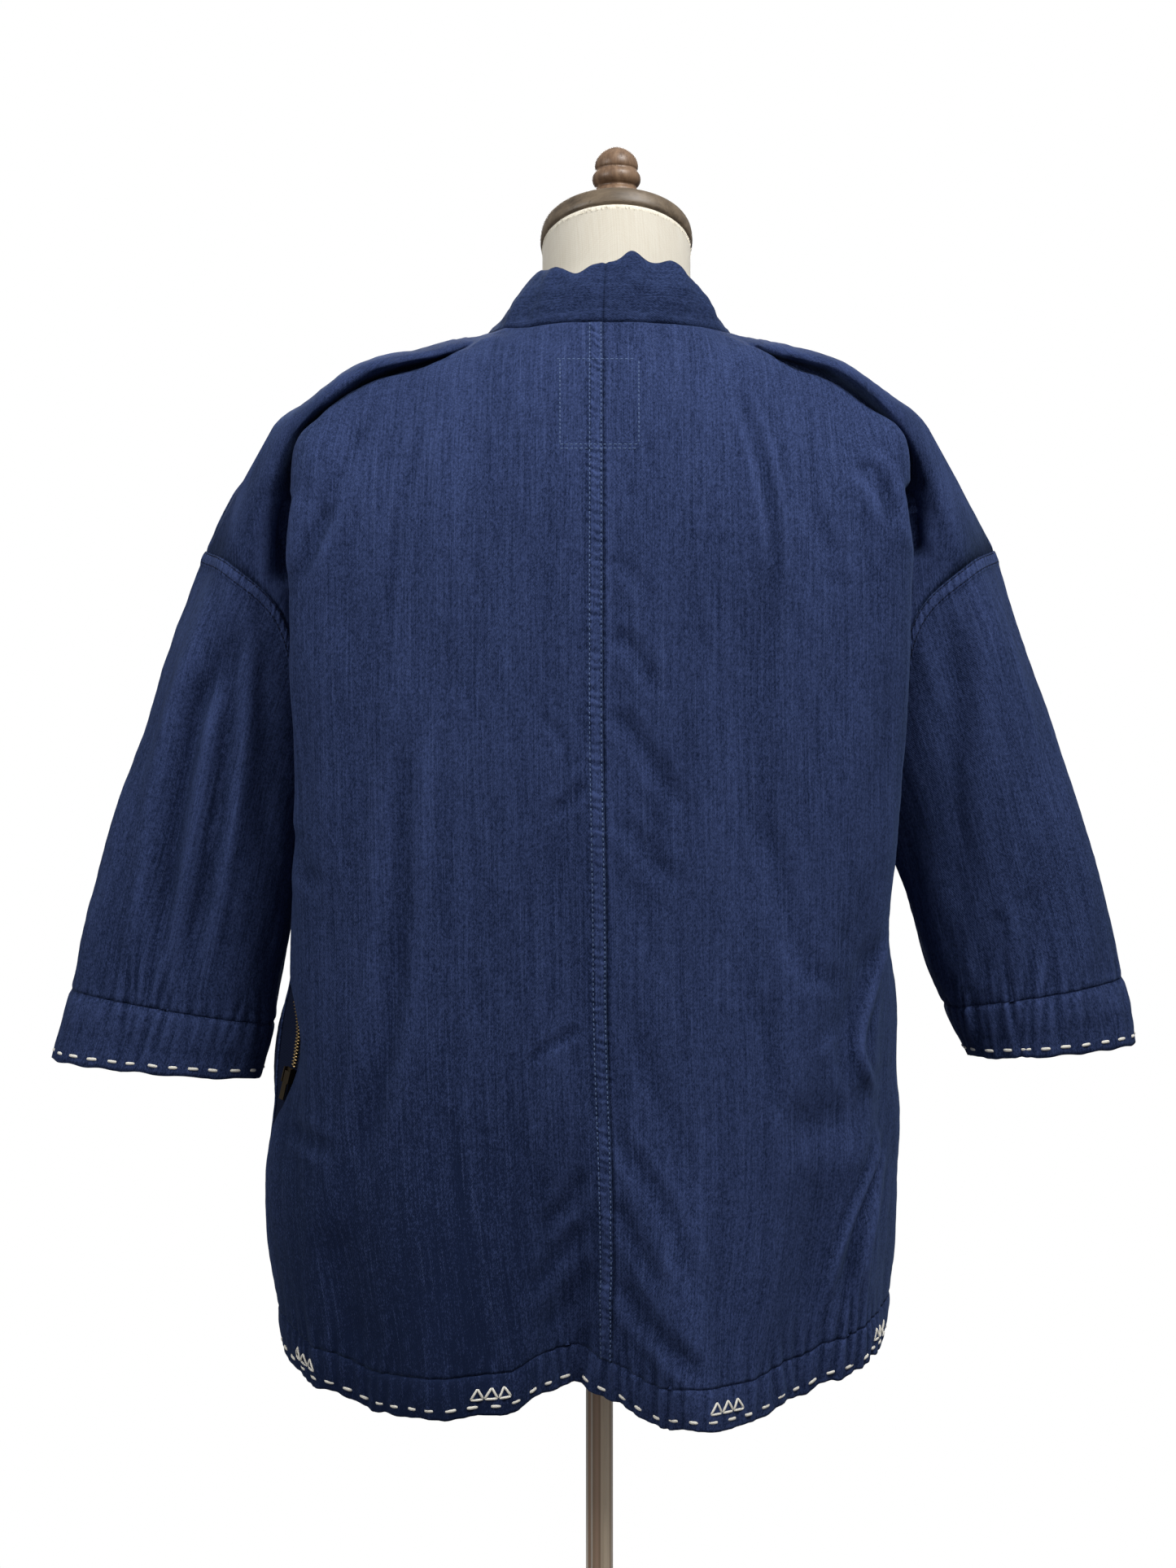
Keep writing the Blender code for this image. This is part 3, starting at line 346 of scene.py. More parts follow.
# Creases of the body and the hem band, as the photograph shows them.
BODY_CREASES = (
    Crease("long hang", -.0056, 16, .25,
           ((510, 830), (497, 960), (492, 1080), (488, 1160), (476, 1260), (454, 1370), (428, 1450),
            (404, 1520))),
    Crease("yoke fall", -.0012, 9, .3, ((527, 490), (497, 590), (482, 700), (474, 780))),
    Crease("shoulder fall", -.0014, 12, .3, ((464, 480), (425, 555), (388, 645), (362, 705))),
    Crease("yoke crease", -.0030, 8, .4, ((910, 455), (928, 515), (946, 600), (955, 680), (953, 750))),
    Crease("broad hang", -.0056, 32, .15,
           ((948, 640), (938, 780), (930, 900), (940, 1000), (962, 1100), (990, 1180), (1050, 1214))),
    Crease("fine line", -.0007, 5, .2, ((884, 690), (884, 850), (892, 1010))),
    Crease("side fall", -.0020, 13, .3, ((940, 990), (962, 1085), (976, 1150), (1000, 1196), (1062, 1212))),
    Crease("pocket edge", -.0022, 13, .3, ((946, 1205), (948, 1290), (956, 1345), (980, 1400))),
    Crease("pocket shade", -.0028, 28, .3, ((958, 1376), (1005, 1384), (1050, 1380), (1098, 1366))),
    Crease("pocket swell", .0030, 30, 0, ((1010, 1270), (1045, 1310), (1085, 1345))),
    Crease("drag one", -.0009, 10, .35, ((738, 684), (775, 700), (792, 728), (800, 748))),
    Crease("drag two", -.0016, 11, .35, ((742, 774), (768, 786), (794, 822), (816, 862))),
    Crease("drag three", -.0021, 12, .35, ((744, 868), (770, 890), (800, 934), (824, 974), (838, 1008))),
    Crease("drag four", -.0015, 12, .35, ((750, 994), (782, 1030), (818, 1072), (850, 1090))),
    Crease("drag five", -.0012, 15, .3, ((750, 1200), (785, 1285), (812, 1345), (850, 1450), (868, 1505))),
    Crease("tuck one", -.0020, 11, .45, ((748, 1374), (775, 1420), (812, 1474), (844, 1542), (880, 1608))),
    Crease("tuck two", -.0017, 10, .45, ((750, 1464), (780, 1522), (810, 1570), (824, 1596))),
    Crease("tuck three", -.0024, 12, .45, ((752, 1560), (788, 1612), (832, 1654), (880, 1692))),
    Crease("low ridge", .0014, 15, 0, ((768, 1480), (800, 1550), (840, 1610), (890, 1650))),
    Crease("fan one", -.0012, 11, .35, ((724, 1432), (697, 1480), (655, 1520))),
    Crease("fan two", -.0013, 12, .35, ((728, 1500), (690, 1546), (640, 1594))),
    Crease("fan three", -.0018, 16, .3, ((732, 1550), (704, 1600), (655, 1648))),
    Crease("fan small", -.0011, 7, .3, ((724, 1262), (690, 1276), (655, 1300), (640, 1322))),
    Crease("seam drag", -.0012, 9, .3, ((724, 956), (700, 984), (664, 1004))),
    Crease("seam rub", -.0008, 7, .3, ((655, 872), (690, 905), (708, 950))),
    Crease("side line", -.0018, 12, .35, ((336, 1400), (378, 1412), (410, 1424))),
    Crease("side press", -.0020, 12, .3, ((350, 1010), (368, 1068), (392, 1100))),
    Crease("low line", -.0008, 8, .3, ((563, 1400), (567, 1480), (573, 1565))),
    Crease("low shade", -.0022, 26, .1, ((395, 1500), (412, 1570), (440, 1640), (480, 1680))),
    Crease("arm crease", -.0004, 9, .3, ((1000, 702), (1048, 714), (1095, 706))),
    Crease("blade dent", -.0003, 10, .2, ((1005, 640), (1030, 668), (1060, 680))),
    Crease("pocket rim", .0036, 5.5, .3,
           ((1106, 1140), (1088, 1200), (1068, 1262), (1062, 1300), (1076, 1336), (1096, 1362))),
    Crease("rim shade", -.0044, 15, 0,
           ((1086, 1140), (1068, 1200), (1046, 1264), (1042, 1306), (1060, 1348), (1086, 1380))),
    Crease("edge ridge", .0032, 6, .3,
           ((1100, 1385), (1080, 1445), (1050, 1512), (1032, 1562), (1006, 1645))),
    Crease("edge fold", .0028, 5.5, .3, ((1104, 1425), (1090, 1482), (1074, 1545), (1066, 1604))),
    Crease("edge trough", -.0046, 10, .1, ((1096, 1440), (1070, 1500), (1052, 1560), (1040, 1630))),
    Crease("left pocket", -.0080, 12, .3, ((340, 590), (333, 632), (330, 672), (331, 712))),
    Crease("left arm", -.0026, 10, .3, ((404, 612), (388, 650), (370, 692), (360, 724))),
    Crease("right pocket", -.0080, 12, .3, ((1128, 580), (1133, 612), (1139, 645), (1143, 678))),
    Crease("right arm", -.0034, 11, .35, ((1060, 556), (1080, 582), (1096, 612), (1106, 648))),
)

# The creases of the back that the hidden front has too, mirrored and softer.
FRONT_CREASES = BODY_CREASES[:2] + BODY_CREASES[10:17] + BODY_CREASES[27:29]

SLEEVE_CREASES = {
    Side.LEFT: (
        Crease("outer fall", -.0110, 17, .3,
               ((290, 748), (270, 812), (242, 880), (223, 960), (207, 1060), (196, 1150), (190, 1240))),
        Crease("inner fall", -.0080, 13, .3,
               ((294, 750), (286, 860), (272, 980), (254, 1080), (233, 1170), (214, 1245))),
        Crease("body side", -.0040, 20, .2, ((322, 760), (330, 900), (322, 1010), (318, 1120))),
        Crease("upper hollow", -.0020, 12, .3, ((262, 700), (262, 760), (250, 830))),
    ),
    Side.RIGHT: (
        Crease("inner fall", -.0050, 20, .3,
               ((1158, 735), (1168, 800), (1168, 900), (1172, 1000), (1178, 1100), (1190, 1215))),
        Crease("pressed line", .0009, 5, .5,
               ((1213, 690), (1228, 715), (1249, 803), (1271, 890), (1284, 960))),
        Crease("low hollow", -.0018, 16, .3, ((1262, 1080), (1268, 1150), (1272, 1210))),
        Crease("small fall", -.0020, 12, .3, ((1222, 1110), (1218, 1165), (1212, 1220))),
    ),
}


def warp(points: Any) -> Array:
    """Moves base points to the hang in the picture: narrower right side, neck off centre, hanging folds."""
    points = np.array(points, float)
    x, y, z = points[..., 0], points[..., 1], points[..., 2]

    # The right side hangs narrower, and its shoulder stands a little higher.
    right = ease(-x / .06)
    low = ease((1.16 - z) / .30)
    narrow = .080 * low + .026 * ease((.84 - z) / .09)
    points[..., 0] = x * (1 - narrow * right * ease((.28 + x) / .04))
    shoulder = bell(x + .200, .060) * ease((z - 1.27) / .05) * ease((y + .05) / .04)
    points[..., 2] += .0018 * right * shoulder

    # The neck sits to the right, and the centre back seam drifts.
    near = ease((z - 1.33) / .05) * ease((.20 + x) / .09)
    points[..., 0] -= (.0145 + .0100 * ease((z - 1.402) / .033)) * ease(-x / .042) * near
    drift = along_table(CENTRE_DRIFT, z) * bell(points[..., 0], .10)
    points[..., 0] += drift * ease((y - .02) / .04)

    # The hanging folds push the cloth out from the body, or in.
    x = points[..., 0].copy()
    out = unit(np.stack((x / .0576, y / .0169, 0 * x), -1))
    for face, top_x, top_z, hem_x, push, width in HANGING:
        sign = 1 if face == "back" else -1
        down = np.clip((top_z - z) / (top_z - HEM), 0, 1)
        line = top_x + (hem_x - top_x) * down
        amount = push * ease(down) * bell(x - line, width) * ease((sign * y - .02) / .05)
        points += amount[..., None] * out

    # The hem rises and falls.
    behind = ease((y + .03) / .06)
    rise = along_table(HEM_BACK, x) * behind + along_table(HEM_FRONT, x) * (1 - behind)
    points[..., 2] += rise * ease((.92 - z) / .22)
    return points


def mirrored(points: Any, side: Side) -> Array:
    """Points for the wearer's left as they are, for the right with x turned round."""
    points = np.array(points, float)
    if side is Side.RIGHT:
        points[..., 0] *= -1
    return points


def slit(z: Array) -> Array:
    """How far the pocket mouth stands open at a height, from 0 to 1."""
    return ease((.942 - z) / .055) * ease((z - .815) / .062)


def grid_normals(grid: Array, ring: bool = False) -> Array:
    """Unit normals of a grid of points, from the lines through its neighbours."""
    down = np.gradient(grid, axis=0)
    if ring:
        across = (np.roll(grid, -1, 1) - np.roll(grid, 1, 1)) / 2
    else:
        across = np.gradient(grid, axis=1)
    return unit(np.cross(across, down))


@dataclass
class Fineness:
    """Distances between mesh points on each part of the cloth, in metres."""

    body_rows: float = .0023
    shoulder: float = .0023
    back_columns: float = .0022
    sleeve_rows: float = .0024
    cuff_rows: float = .0022
    collar_steps: int = 22
    band_rows: int = 14


class JacketCut:
    """Surfaces of the cloth pieces from the guide lines, with shared points along every seam."""

    sleeve_length = .34
    cuff_depth = .030

    def __init__(self, fine: Fineness) -> None:
        """Settles the rows and columns that the pieces share."""
        self.fine = fine
        back = list(BACK.values())
        middle = [row[1] for row in back]
        self.edge = np.array([row[-1] for row in back], float)
        low = even_places(middle, HEM_SEAM, UNDERARM, fine.body_rows)
        arm = even_places(self.edge[UNDERARM:TIP + 1], 0, TIP - UNDERARM, fine.body_rows)
        shoulder = even_places(self.edge[TIP:], 0, NECKLINE - TIP, fine.shoulder)
        self.shoulder = [TIP + p for p in shoulder]
        self.back_rows = low[:-1] + [UNDERARM + p for p in arm[:-1]] + self.shoulder
        self.back_columns = even_places(back[5], 0, 7, fine.back_columns)
        front_arm = [list(FRONT.values())[k][-1] for k in (5, 6, 7, 8)]
        rising = [tuple(self.edge[UNDERARM]), *front_arm, tuple(self.edge[TIP])]
        upper = even_places(rising, 0, 5, .0030)
        self.front_rows = low[:-1] + [UNDERARM + p for p in upper]
        self.front_columns = [NECKLINE - place for place in self.shoulder[::-1]]
        self.band_rows = [HEM_SEAM * k / fine.band_rows for k in range(fine.band_rows + 1)]

    def back_surface(self, side: Side, rows: Sequence[float], columns: Sequence[float]) -> Array:
        """Points of one half of the back at the given guide rows and columns."""
        table = np.array(list(BACK.values()), float)
        other = table[:, :0:-1] * (-1, 1, 1)
        lines = thread(np.concatenate((other, table), 1), rows)
        edge = broken(self.edge, rows, (UNDERARM, TIP))
        lines[:, -1] = edge
        lines[:, 0] = edge * (-1, 1, 1)
        points = thread(np.swapaxes(lines, 0, 1), [c + table.shape[1] - 1 for c in columns])
        return warp(mirrored(np.swapaxes(points, 0, 1), side))

    def front_surface(self, side: Side, rows: Sequence[float], columns: Sequence[float]) -> Array:
        """Points of one front. Column 0 is the front edge, the last the side seam and the armhole."""
        table = []
        for number, row in enumerate(FRONT.values()):
            table.append([tuple(self.edge[number]) if cell is None else cell for cell in row])
        table.append([tuple(point) for point in self.edge[TIP:][::-1]])
        guide = np.array(table, float)
        lines = thread(guide, rows)
        lines[:, -1] = broken(guide[:, -1], rows, (UNDERARM,))
        points = np.swapaxes(thread(np.swapaxes(lines, 0, 1), columns), 0, 1)
        last = len(guide) - 1
        top = broken(self.edge, [NECKLINE - c for c in columns], (UNDERARM, TIP))
        drift = top - thread(guide[-1], columns)
        fade = ease((np.array(rows) - last + 1.5) / 1.5)
        return warp(mirrored(points + drift * fade[:, None, None], side))

    def sleeve_ring(self, side: Side, angles: Array, along: float) -> Array:
        """A ring of the plain sleeve tube: angle 0 is its outer line, 90 degrees its back."""
        table = np.array(SLEEVES[side])
        row = [float(np.interp(along, table[:, 0], range(len(table))))]
        out_x, out_z, in_x, in_z, half, centre = thread(table[:, 1:], row)[0]
        outer = np.array([out_x, 0, out_z])
        inner = np.array([in_x, centre, in_z])
        sign = np.array([1 if side is Side.LEFT else -1, 1, 1])
        middle, across = (outer + inner) / 2 * sign, (outer - inner) / 2 * sign
        cosine, sine = np.cos(angles), np.sin(angles)
        round_x = np.sign(cosine) * np.abs(cosine) ** .92
        round_y = np.sign(sine) * np.abs(sine) ** .85
        ring = middle + across * round_x[:, None]
        ring[:, 1] += half * round_y + centre
        return ring

    def sleeve_grids(self, side: Side) -> tuple[Array, Array]:
        """Grids of the sleeve and the cuff. The loop starts at the underarm and runs up the front first."""
        back_rows = [p for p in self.back_rows if UNDERARM - 1e-9 <= p <= TIP + 1e-9]
        front_rows = [p for p in self.front_rows if p >= UNDERARM - 1e-9]
        behind = warp(mirrored(broken(self.edge, back_rows, (UNDERARM, TIP)), side))[::-1]
        before = self.front_surface(side, front_rows, self.front_columns)[:, -1]
        loop = np.concatenate((before, behind[1:-1]))

        # The armhole's points are spread over the tube's angles by their distance along the seam.
        parts = [first + math.pi * run_length(part) / run_length(part)[-1]
                 for part, first in ((before, math.pi), (behind, 0.0))]
        angles = np.concatenate((parts[0], parts[1][1:-1]))
        start = self.sleeve_ring(side, angles, 0)
        count = round(self.sleeve_length / self.fine.sleeve_rows)
        rows = []
        for k in range(count + 1):
            along = k / count
            rows.append(self.sleeve_ring(side, angles, along) + (loop - start) * (1 - ease(along / .62)))
        steps = round(self.cuff_depth / self.fine.cuff_rows)
        cuff = [rows[-1]] + [self.sleeve_ring(side, angles, 1 + k / steps) for k in range(1, steps + 1)]
        return np.array(rows), np.array(cuff)

    def collar_grid(self, side: Side, seam: Array) -> Array:
        """The collar band from its seam line to the free edge, with a slight roll."""
        free_back = thread(COLLAR_BACK, self.back_columns)
        rows = self.band_rows[:-1] + self.front_rows
        table = np.array([*COLLAR_FRONT.values(), COLLAR_BACK[-1]])
        free_front = thread(table, rows)[::-1]
        free = warp(mirrored(np.concatenate((free_back, free_front[1:])), side))
        for x, rise, width in COLLAR_WAVES:
            free[:, 2] += rise * bell(free[:, 0] - x, width) * ease((free[:, 1] + .030) / .035)
        across = np.linspace(0, 1, self.fine.collar_steps + 1)
        grid = np.array([seam + (free - seam) * w for w in across])
        normals = grid_normals(grid)
        if (normals * grid)[..., :2].sum() < 0:
            normals = -normals
        swell = .0035 * ease((seam[:, 1] - .010) / .045) + .0025 * ease((-.035 - seam[:, 1]) / .04) - .0004
        for number, w in enumerate(across):
            grid[number] += normals[number] * (swell * 4 * w * (1 - w))[:, None]
        return grid


def open_mouth(grid: Array, edge: int, shift: Point) -> Array:
    """Moves the side edge of a panel off the seam where the pocket mouth stands open."""
    grid = grid.copy()
    reach = np.linalg.norm(grid - grid[:, edge][:, None], axis=-1)
    fade = ease(1 - reach / .055) * slit(grid[..., 2])
    return grid + fade[..., None] * np.array(shift)


def quads(rows: int, columns: int, ring: bool = False) -> Array:
    """Faces between the points of a grid, as four point numbers each. A ring's columns are closed."""
    r, c = np.meshgrid(np.arange(rows - 1), np.arange(columns if ring else columns - 1), indexing="ij")
    after = (c + 1) % columns
    low, high = r * columns, (r + 1) * columns
    return np.stack((low + c, low + after, high + after, high + c), -1).reshape(-1, 4)


def tube_faces(levels: int, around: int, start: int = 0) -> list[list[int]]:
    """Faces of a tube of rings with a cap on each end, its points numbered from `start`."""
    last = start + (levels - 1) * around
    caps = [list(range(start, start + around))[::-1], list(range(last, last + around))]
    return (quads(levels, around, ring=True) + start).tolist() + caps


class Cloth:
    """One cloth piece: a grid of points on its outer face, its grain and the mesh made from them."""

    def __init__(self, name: str, grid: Array, depth: float, ring: bool = False, stride: int = 4,
                 material: str = CLOTH) -> None:
        """Takes the grid and finds which way is out.

        Args:
            name: The solid that the piece stands for.
            grid: Rows by columns of points.
            depth: Thickness of the wall in metres.
            ring: Whether the columns close on themselves.
            stride: How many steps of the outer face one step of the inner face takes.
            material: Slot of its finish.
        """
        self.name = name
        self.grid = np.array(grid)
        self.depth = depth
        self.ring = ring
        self.stride = stride
        self.material = material
        self.normals = grid_normals(self.grid, ring)
        centre = self.grid.reshape(-1, 3).mean(0) if ring else np.zeros(3)
        self.flipped = bool(((self.grid - centre) * self.normals).sum() < 0)
        if self.flipped:
            self.normals = -self.normals
        closed = np.concatenate((self.grid, self.grid[:, :1]), 1) if ring else self.grid
        self.grain = np.stack((run_length(np.swapaxes(closed, 0, 1)).T, run_length(closed)), -1)
        self.weave = self.grain.copy()
        self.seam = np.full_like(self.grain, .05)
        self.lift = np.zeros(self.grid.shape[:2])
        self.slide = np.zeros_like(self.grid)

    def border(self) -> list[tuple[int, int]]:
        """Index pairs of the points on the border."""
        rows, columns = self.grid.shape[:2]
        found = [(0, c) for c in range(columns)] + [(rows - 1, c) for c in range(columns)]
        if not self.ring:
            found += [(r, 0) for r in range(1, rows - 1)] + [(r, columns - 1) for r in range(1, rows - 1)]
        return found

    def lay_warp(self, way: Array, column: int, start: float, sign: int) -> None:
        """Measures the cloth across and along a straight warp.

        Args:
            way: Direction of the warp.
            column: The column that distances across are measured from.
            start: The distance given to that column, other for each piece.
            sign: 1 or -1, the way in which the distance grows.
        """
        closed = np.concatenate((self.grid, self.grid[:, :1]), 1) if self.ring else self.grid
        steps = np.diff(closed, axis=1)
        steps = steps - (steps @ way)[..., None] * way
        across = np.cumsum(np.linalg.norm(steps, axis=-1), axis=1)
        across = np.concatenate((np.zeros((len(closed), 1)), across), 1)
        self.weave[..., 0] = sign * (start + across - across[:, column:column + 1])
        if self.ring:
            self.weave[..., 1] = closed @ way

    def settle(self) -> None:
        """Moves the points by the relief that has been gathered."""
        self.flat_normals = self.normals
        self.grid = self.grid + self.normals * self.lift[..., None] + self.slide
        self.normals = grid_normals(self.grid, self.ring) * (-1 if self.flipped else 1)

    def spot(self, row: Array, column: Array) -> tuple[Array, Array]:
        """Points and normals of the finished outer face at fractional rows and columns."""
        rows, columns = self.grid.shape[:2]
        row = np.clip(row, 0, rows - 1.0001)
        column = column % columns if self.ring else np.clip(column, 0, columns - 1.0001)
        r, c = np.floor(row).astype(int), np.floor(column).astype(int)
        t, w = (row - r)[..., None], (column - c)[..., None]
        after = (c + 1) % columns

        def mix(values: Array) -> Array:
            """The value between four grid points."""
            low = values[r, c] * (1 - w) + values[r, after] * w
            high = values[r + 1, c] * (1 - w) + values[r + 1, after] * w
            return low * (1 - t) + high * t

        return mix(self.grid), unit(mix(self.normals))

    def mesh(self) -> bpy.types.Object:
        """Builds the closed wall: a fine outer face, a coarser inner one and the rim between them."""
        rows, columns = self.grid.shape[:2]
        row_picks = sorted({*range(0, rows, self.stride), rows - 1})
        column_picks = list(range(0, columns, self.stride))
        if not self.ring and column_picks[-1] != columns - 1:
            column_picks.append(columns - 1)
        inner = (self.grid - self.flat_normals * self.depth)[np.ix_(row_picks, column_picks)]
        verts = np.concatenate((self.grid.reshape(-1, 3), inner.reshape(-1, 3)))
        count = rows * columns
        few = len(column_picks)
        outer = quads(rows, columns, self.ring)
        back = count + quads(len(row_picks), few, self.ring)[:, [0, 3, 2, 1]]

        # Each face of the rim joins one step of the inner face to all the steps of the outer one beside it.
        rims = []
        for k in range(few if self.ring else few - 1):
            first = column_picks[k]
            last = column_picks[k + 1] if k + 1 < few else columns
            chain = [j % columns for j in range(first, last + 1)]
            a, b = count + k, count + (k + 1) % few
            rims.append([*chain[::-1], a, b])
            base = count + (len(row_picks) - 1) * few
            rims.append([*((rows - 1) * columns + j for j in chain), base + (k + 1) % few, base + k])
        if not self.ring:
            for k in range(len(row_picks) - 1):
                chain = list(range(row_picks[k], row_picks[k + 1] + 1))
                a, b = count + k * few, count + (k + 1) * few
                rims.append([*(j * columns for j in chain), b, a])
                rims.append([*(j * columns + columns - 1 for j in chain[::-1]), a + few - 1, b + few - 1])
        faces = outer.tolist() + back.tolist() + rims
        if self.flipped:
            faces = [f[::-1] for f in faces]
        item = new_mesh(self.name + "_cloth", verts, faces)
        self.lay_grain(item.data, row_picks, column_picks)
        # Its height over its surroundings goes to the finish, which paints ridges lighter and creases darker:
        # partly wear, partly painted light and shade.
        worn = item.data.attributes.new("worn", "FLOAT", "POINT")
        values = np.zeros(len(verts))
        values[:count] = self.wear_and_painted_shade().reshape(-1)
        worn.data.foreach_set("value", values.astype(np.float32))
        return item

    def wear_and_painted_shade(self) -> Array:
        """How far each point stands above its surroundings, in millimetres, which the cloth's finish paints
        as wear and as painted light and shade.
        """
        lift = self.lift.copy()
        mode = "wrap" if self.ring else "edge"
        for _ in range(6):
            wide = np.pad(np.pad(lift, ((1, 1), (0, 0)), "edge"), ((0, 0), (1, 1)), mode)
            lift = (wide[:-2, 1:-1] + wide[2:, 1:-1] + wide[1:-1, :-2] + wide[1:-1, 2:]) / 4
        return (self.lift - lift) * 1000

    def lay_grain(self, mesh: bpy.types.Mesh, row_picks: list[int], column_picks: list[int]) -> None:
        """Writes two UV maps in metres: the place on the weave and the place by the nearest felled seam."""
        rows, columns = self.grid.shape[:2]
        r, c = (part.reshape(-1) for part in np.indices((rows, columns)))
        inner = np.meshgrid(row_picks, column_picks, indexing="ij")
        r, c = (np.concatenate((outer, part.reshape(-1))) for outer, part in zip((r, c), inner))
        corners = np.zeros(len(mesh.loops), np.int32)
        mesh.loops.foreach_get("vertex_index", corners)
        r, c = r[corners], c[corners]

        # Faces that cross the ring's closing line take the far end of the cloth, not its start.
        if self.ring:
            starts = np.zeros(len(mesh.polygons), np.int32)
            mesh.polygons.foreach_get("loop_start", starts)
            sizes = np.zeros(len(mesh.polygons), np.int32)
            mesh.polygons.foreach_get("loop_total", sizes)
            furthest = np.repeat(np.maximum.reduceat(c, starts), sizes)
            c = np.where((c == 0) & (furthest > columns / 2), columns, c)
        for name, values in (("grain", self.weave), ("seam", self.seam)):
            layer = mesh.uv_layers.new(name=name)
            layer.data.foreach_set("uv", values[r, c].astype(np.float32).reshape(-1))


def new_mesh(name: str, verts: Array, faces: Sequence[Sequence[int]],
             smooth: bool = True) -> bpy.types.Object:
    """Makes a mesh object in the scene.

    Args:
        name: Name of the object.
        verts: Its points.
        faces: Index lists, wound outward.
        smooth: Whether its faces are shaded smooth.

    Returns:
        The object.
    """
    mesh = bpy.data.meshes.new(name)
    mesh.from_pydata(np.asarray(verts).tolist(), [], [list(f) for f in faces])
    mesh.update()
    if smooth:
        mesh.shade_smooth()
    item = bpy.data.objects.new(name, mesh)
    bpy.context.scene.collection.objects.link(item)
    return item


def dress(item: bpy.types.Object, finish: bpy.types.Material, node: str,
          body: str = JACKET_BODY) -> None:
    """Gives an object its finish and puts it in the place of a solid.

    Args:
        item: The object.
        finish: Its material.
        node: The solid that it replaces.
        body: The body that it moves with.
    """
    item.data.materials.append(finish)
    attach(item, body)
    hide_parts(node)
    LOG.info("%s: %d faces", node, len(item.data.polygons))


def share_normals(pieces: Sequence[Cloth]) -> None:
    """Gives points that meet at a seam one normal, so that the pieces stay together when they are moved."""
    spots = [(piece, spot) for piece in pieces for spot in piece.border()]
    places = np.array([piece.grid[spot] for piece, spot in spots])
    normals = np.array([piece.normals[spot] for piece, spot in spots])
    tree = KDTree(len(spots))
    for number, place in enumerate(places):
        tree.insert(place, number)
    tree.balance()
    for number, (piece, spot) in enumerate(spots):
        near = [k for _, k, _ in tree.find_range(places[number], 2e-5) if normals[k] @ normals[number] > .35]
        mean = normals[near].sum(0)
        piece.normals[spot] = mean / np.linalg.norm(mean)


@dataclass(frozen=True)
class Gathers:
    """Uneven gathers along a seam: distances, depths and the places where they crowd."""

    seed: int
    pitch: float
    depth: float
    width: float
    crowds: tuple[tuple[float, float, float], ...]
    lean: float = 0.0

    def waves(self, along: Array, away: Array, length: float) -> Array:
        """Height of the gathers.

        Args:
            along: Distance along the seam.
            away: Distance from the seam, below zero in the panel above it.
            length: Whole length of the seam.

        Returns:
            The height at each point, in metres.
        """
        dice = np.random.default_rng(self.seed)
        total = np.zeros(np.broadcast(along, away).shape)
        place = self.pitch * .5
        while place < length - self.pitch * .3:
            crowd = sum(gain * math.exp(-((place - at) / wide) ** 2) for at, wide, gain in self.crowds)
            depth = self.depth * dice.uniform(.35, 1.0) * (1 + crowd)
            width = self.width * dice.uniform(.7, 1.3)
            reach = dice.uniform(.008, .020) * (1 + crowd)
            end = dice.uniform(.020, .045)
            lean = self.lean + dice.uniform(-.18, .18)
            line = place + lean * away
            fade = np.where(away < 0, bell(away, reach), bell(away, end))
            total -= depth * bell(along - line, width) * fade
            total += .45 * depth * bell(along - line - 1.9 * width, width) * fade
            place += self.pitch * dice.uniform(.6, 1.5) / (1 + .5 * crowd)
        return total


class Groove(Enum):
    """How deep and how wide the cloth sinks beside each seam, in metres."""

    CENTRE_BACK = (.0005, .0022)
    SHOULDER = (.0002, .0020)
    SIDE = (.0008, .0020)
    ARMHOLE = (.0009, .0022)
    COLLAR = (.0002, .0016)
    PANEL_HEM = (.0004, .0016)
    BAND_TOP = (.0004, .0014)
    CUFF_TOP = (.0009, .0018)
    SLEEVE_END = (.0009, .0020)


# Gathers of the hem on each side, and the fine ones between them.
HEM_GATHERS = {
    Side.LEFT: Gathers(41, .0112, .0013, .0029, ((.0, .03, .9), (.17, .05, .5), (.33, .06, .4))),
    Side.RIGHT: Gathers(43, .0112, .0013, .0029, ((.02, .03, .7), (.14, .04, .4), (.195, .022, 1.3),
                                                  (.32, .06, .5))),
}
FINE_HEM_GATHERS = Gathers(45, .0047, .0004, .0013, ())
FINE_CUFF_GATHERS = Gathers(55, .0052, .0003, .0014, ())


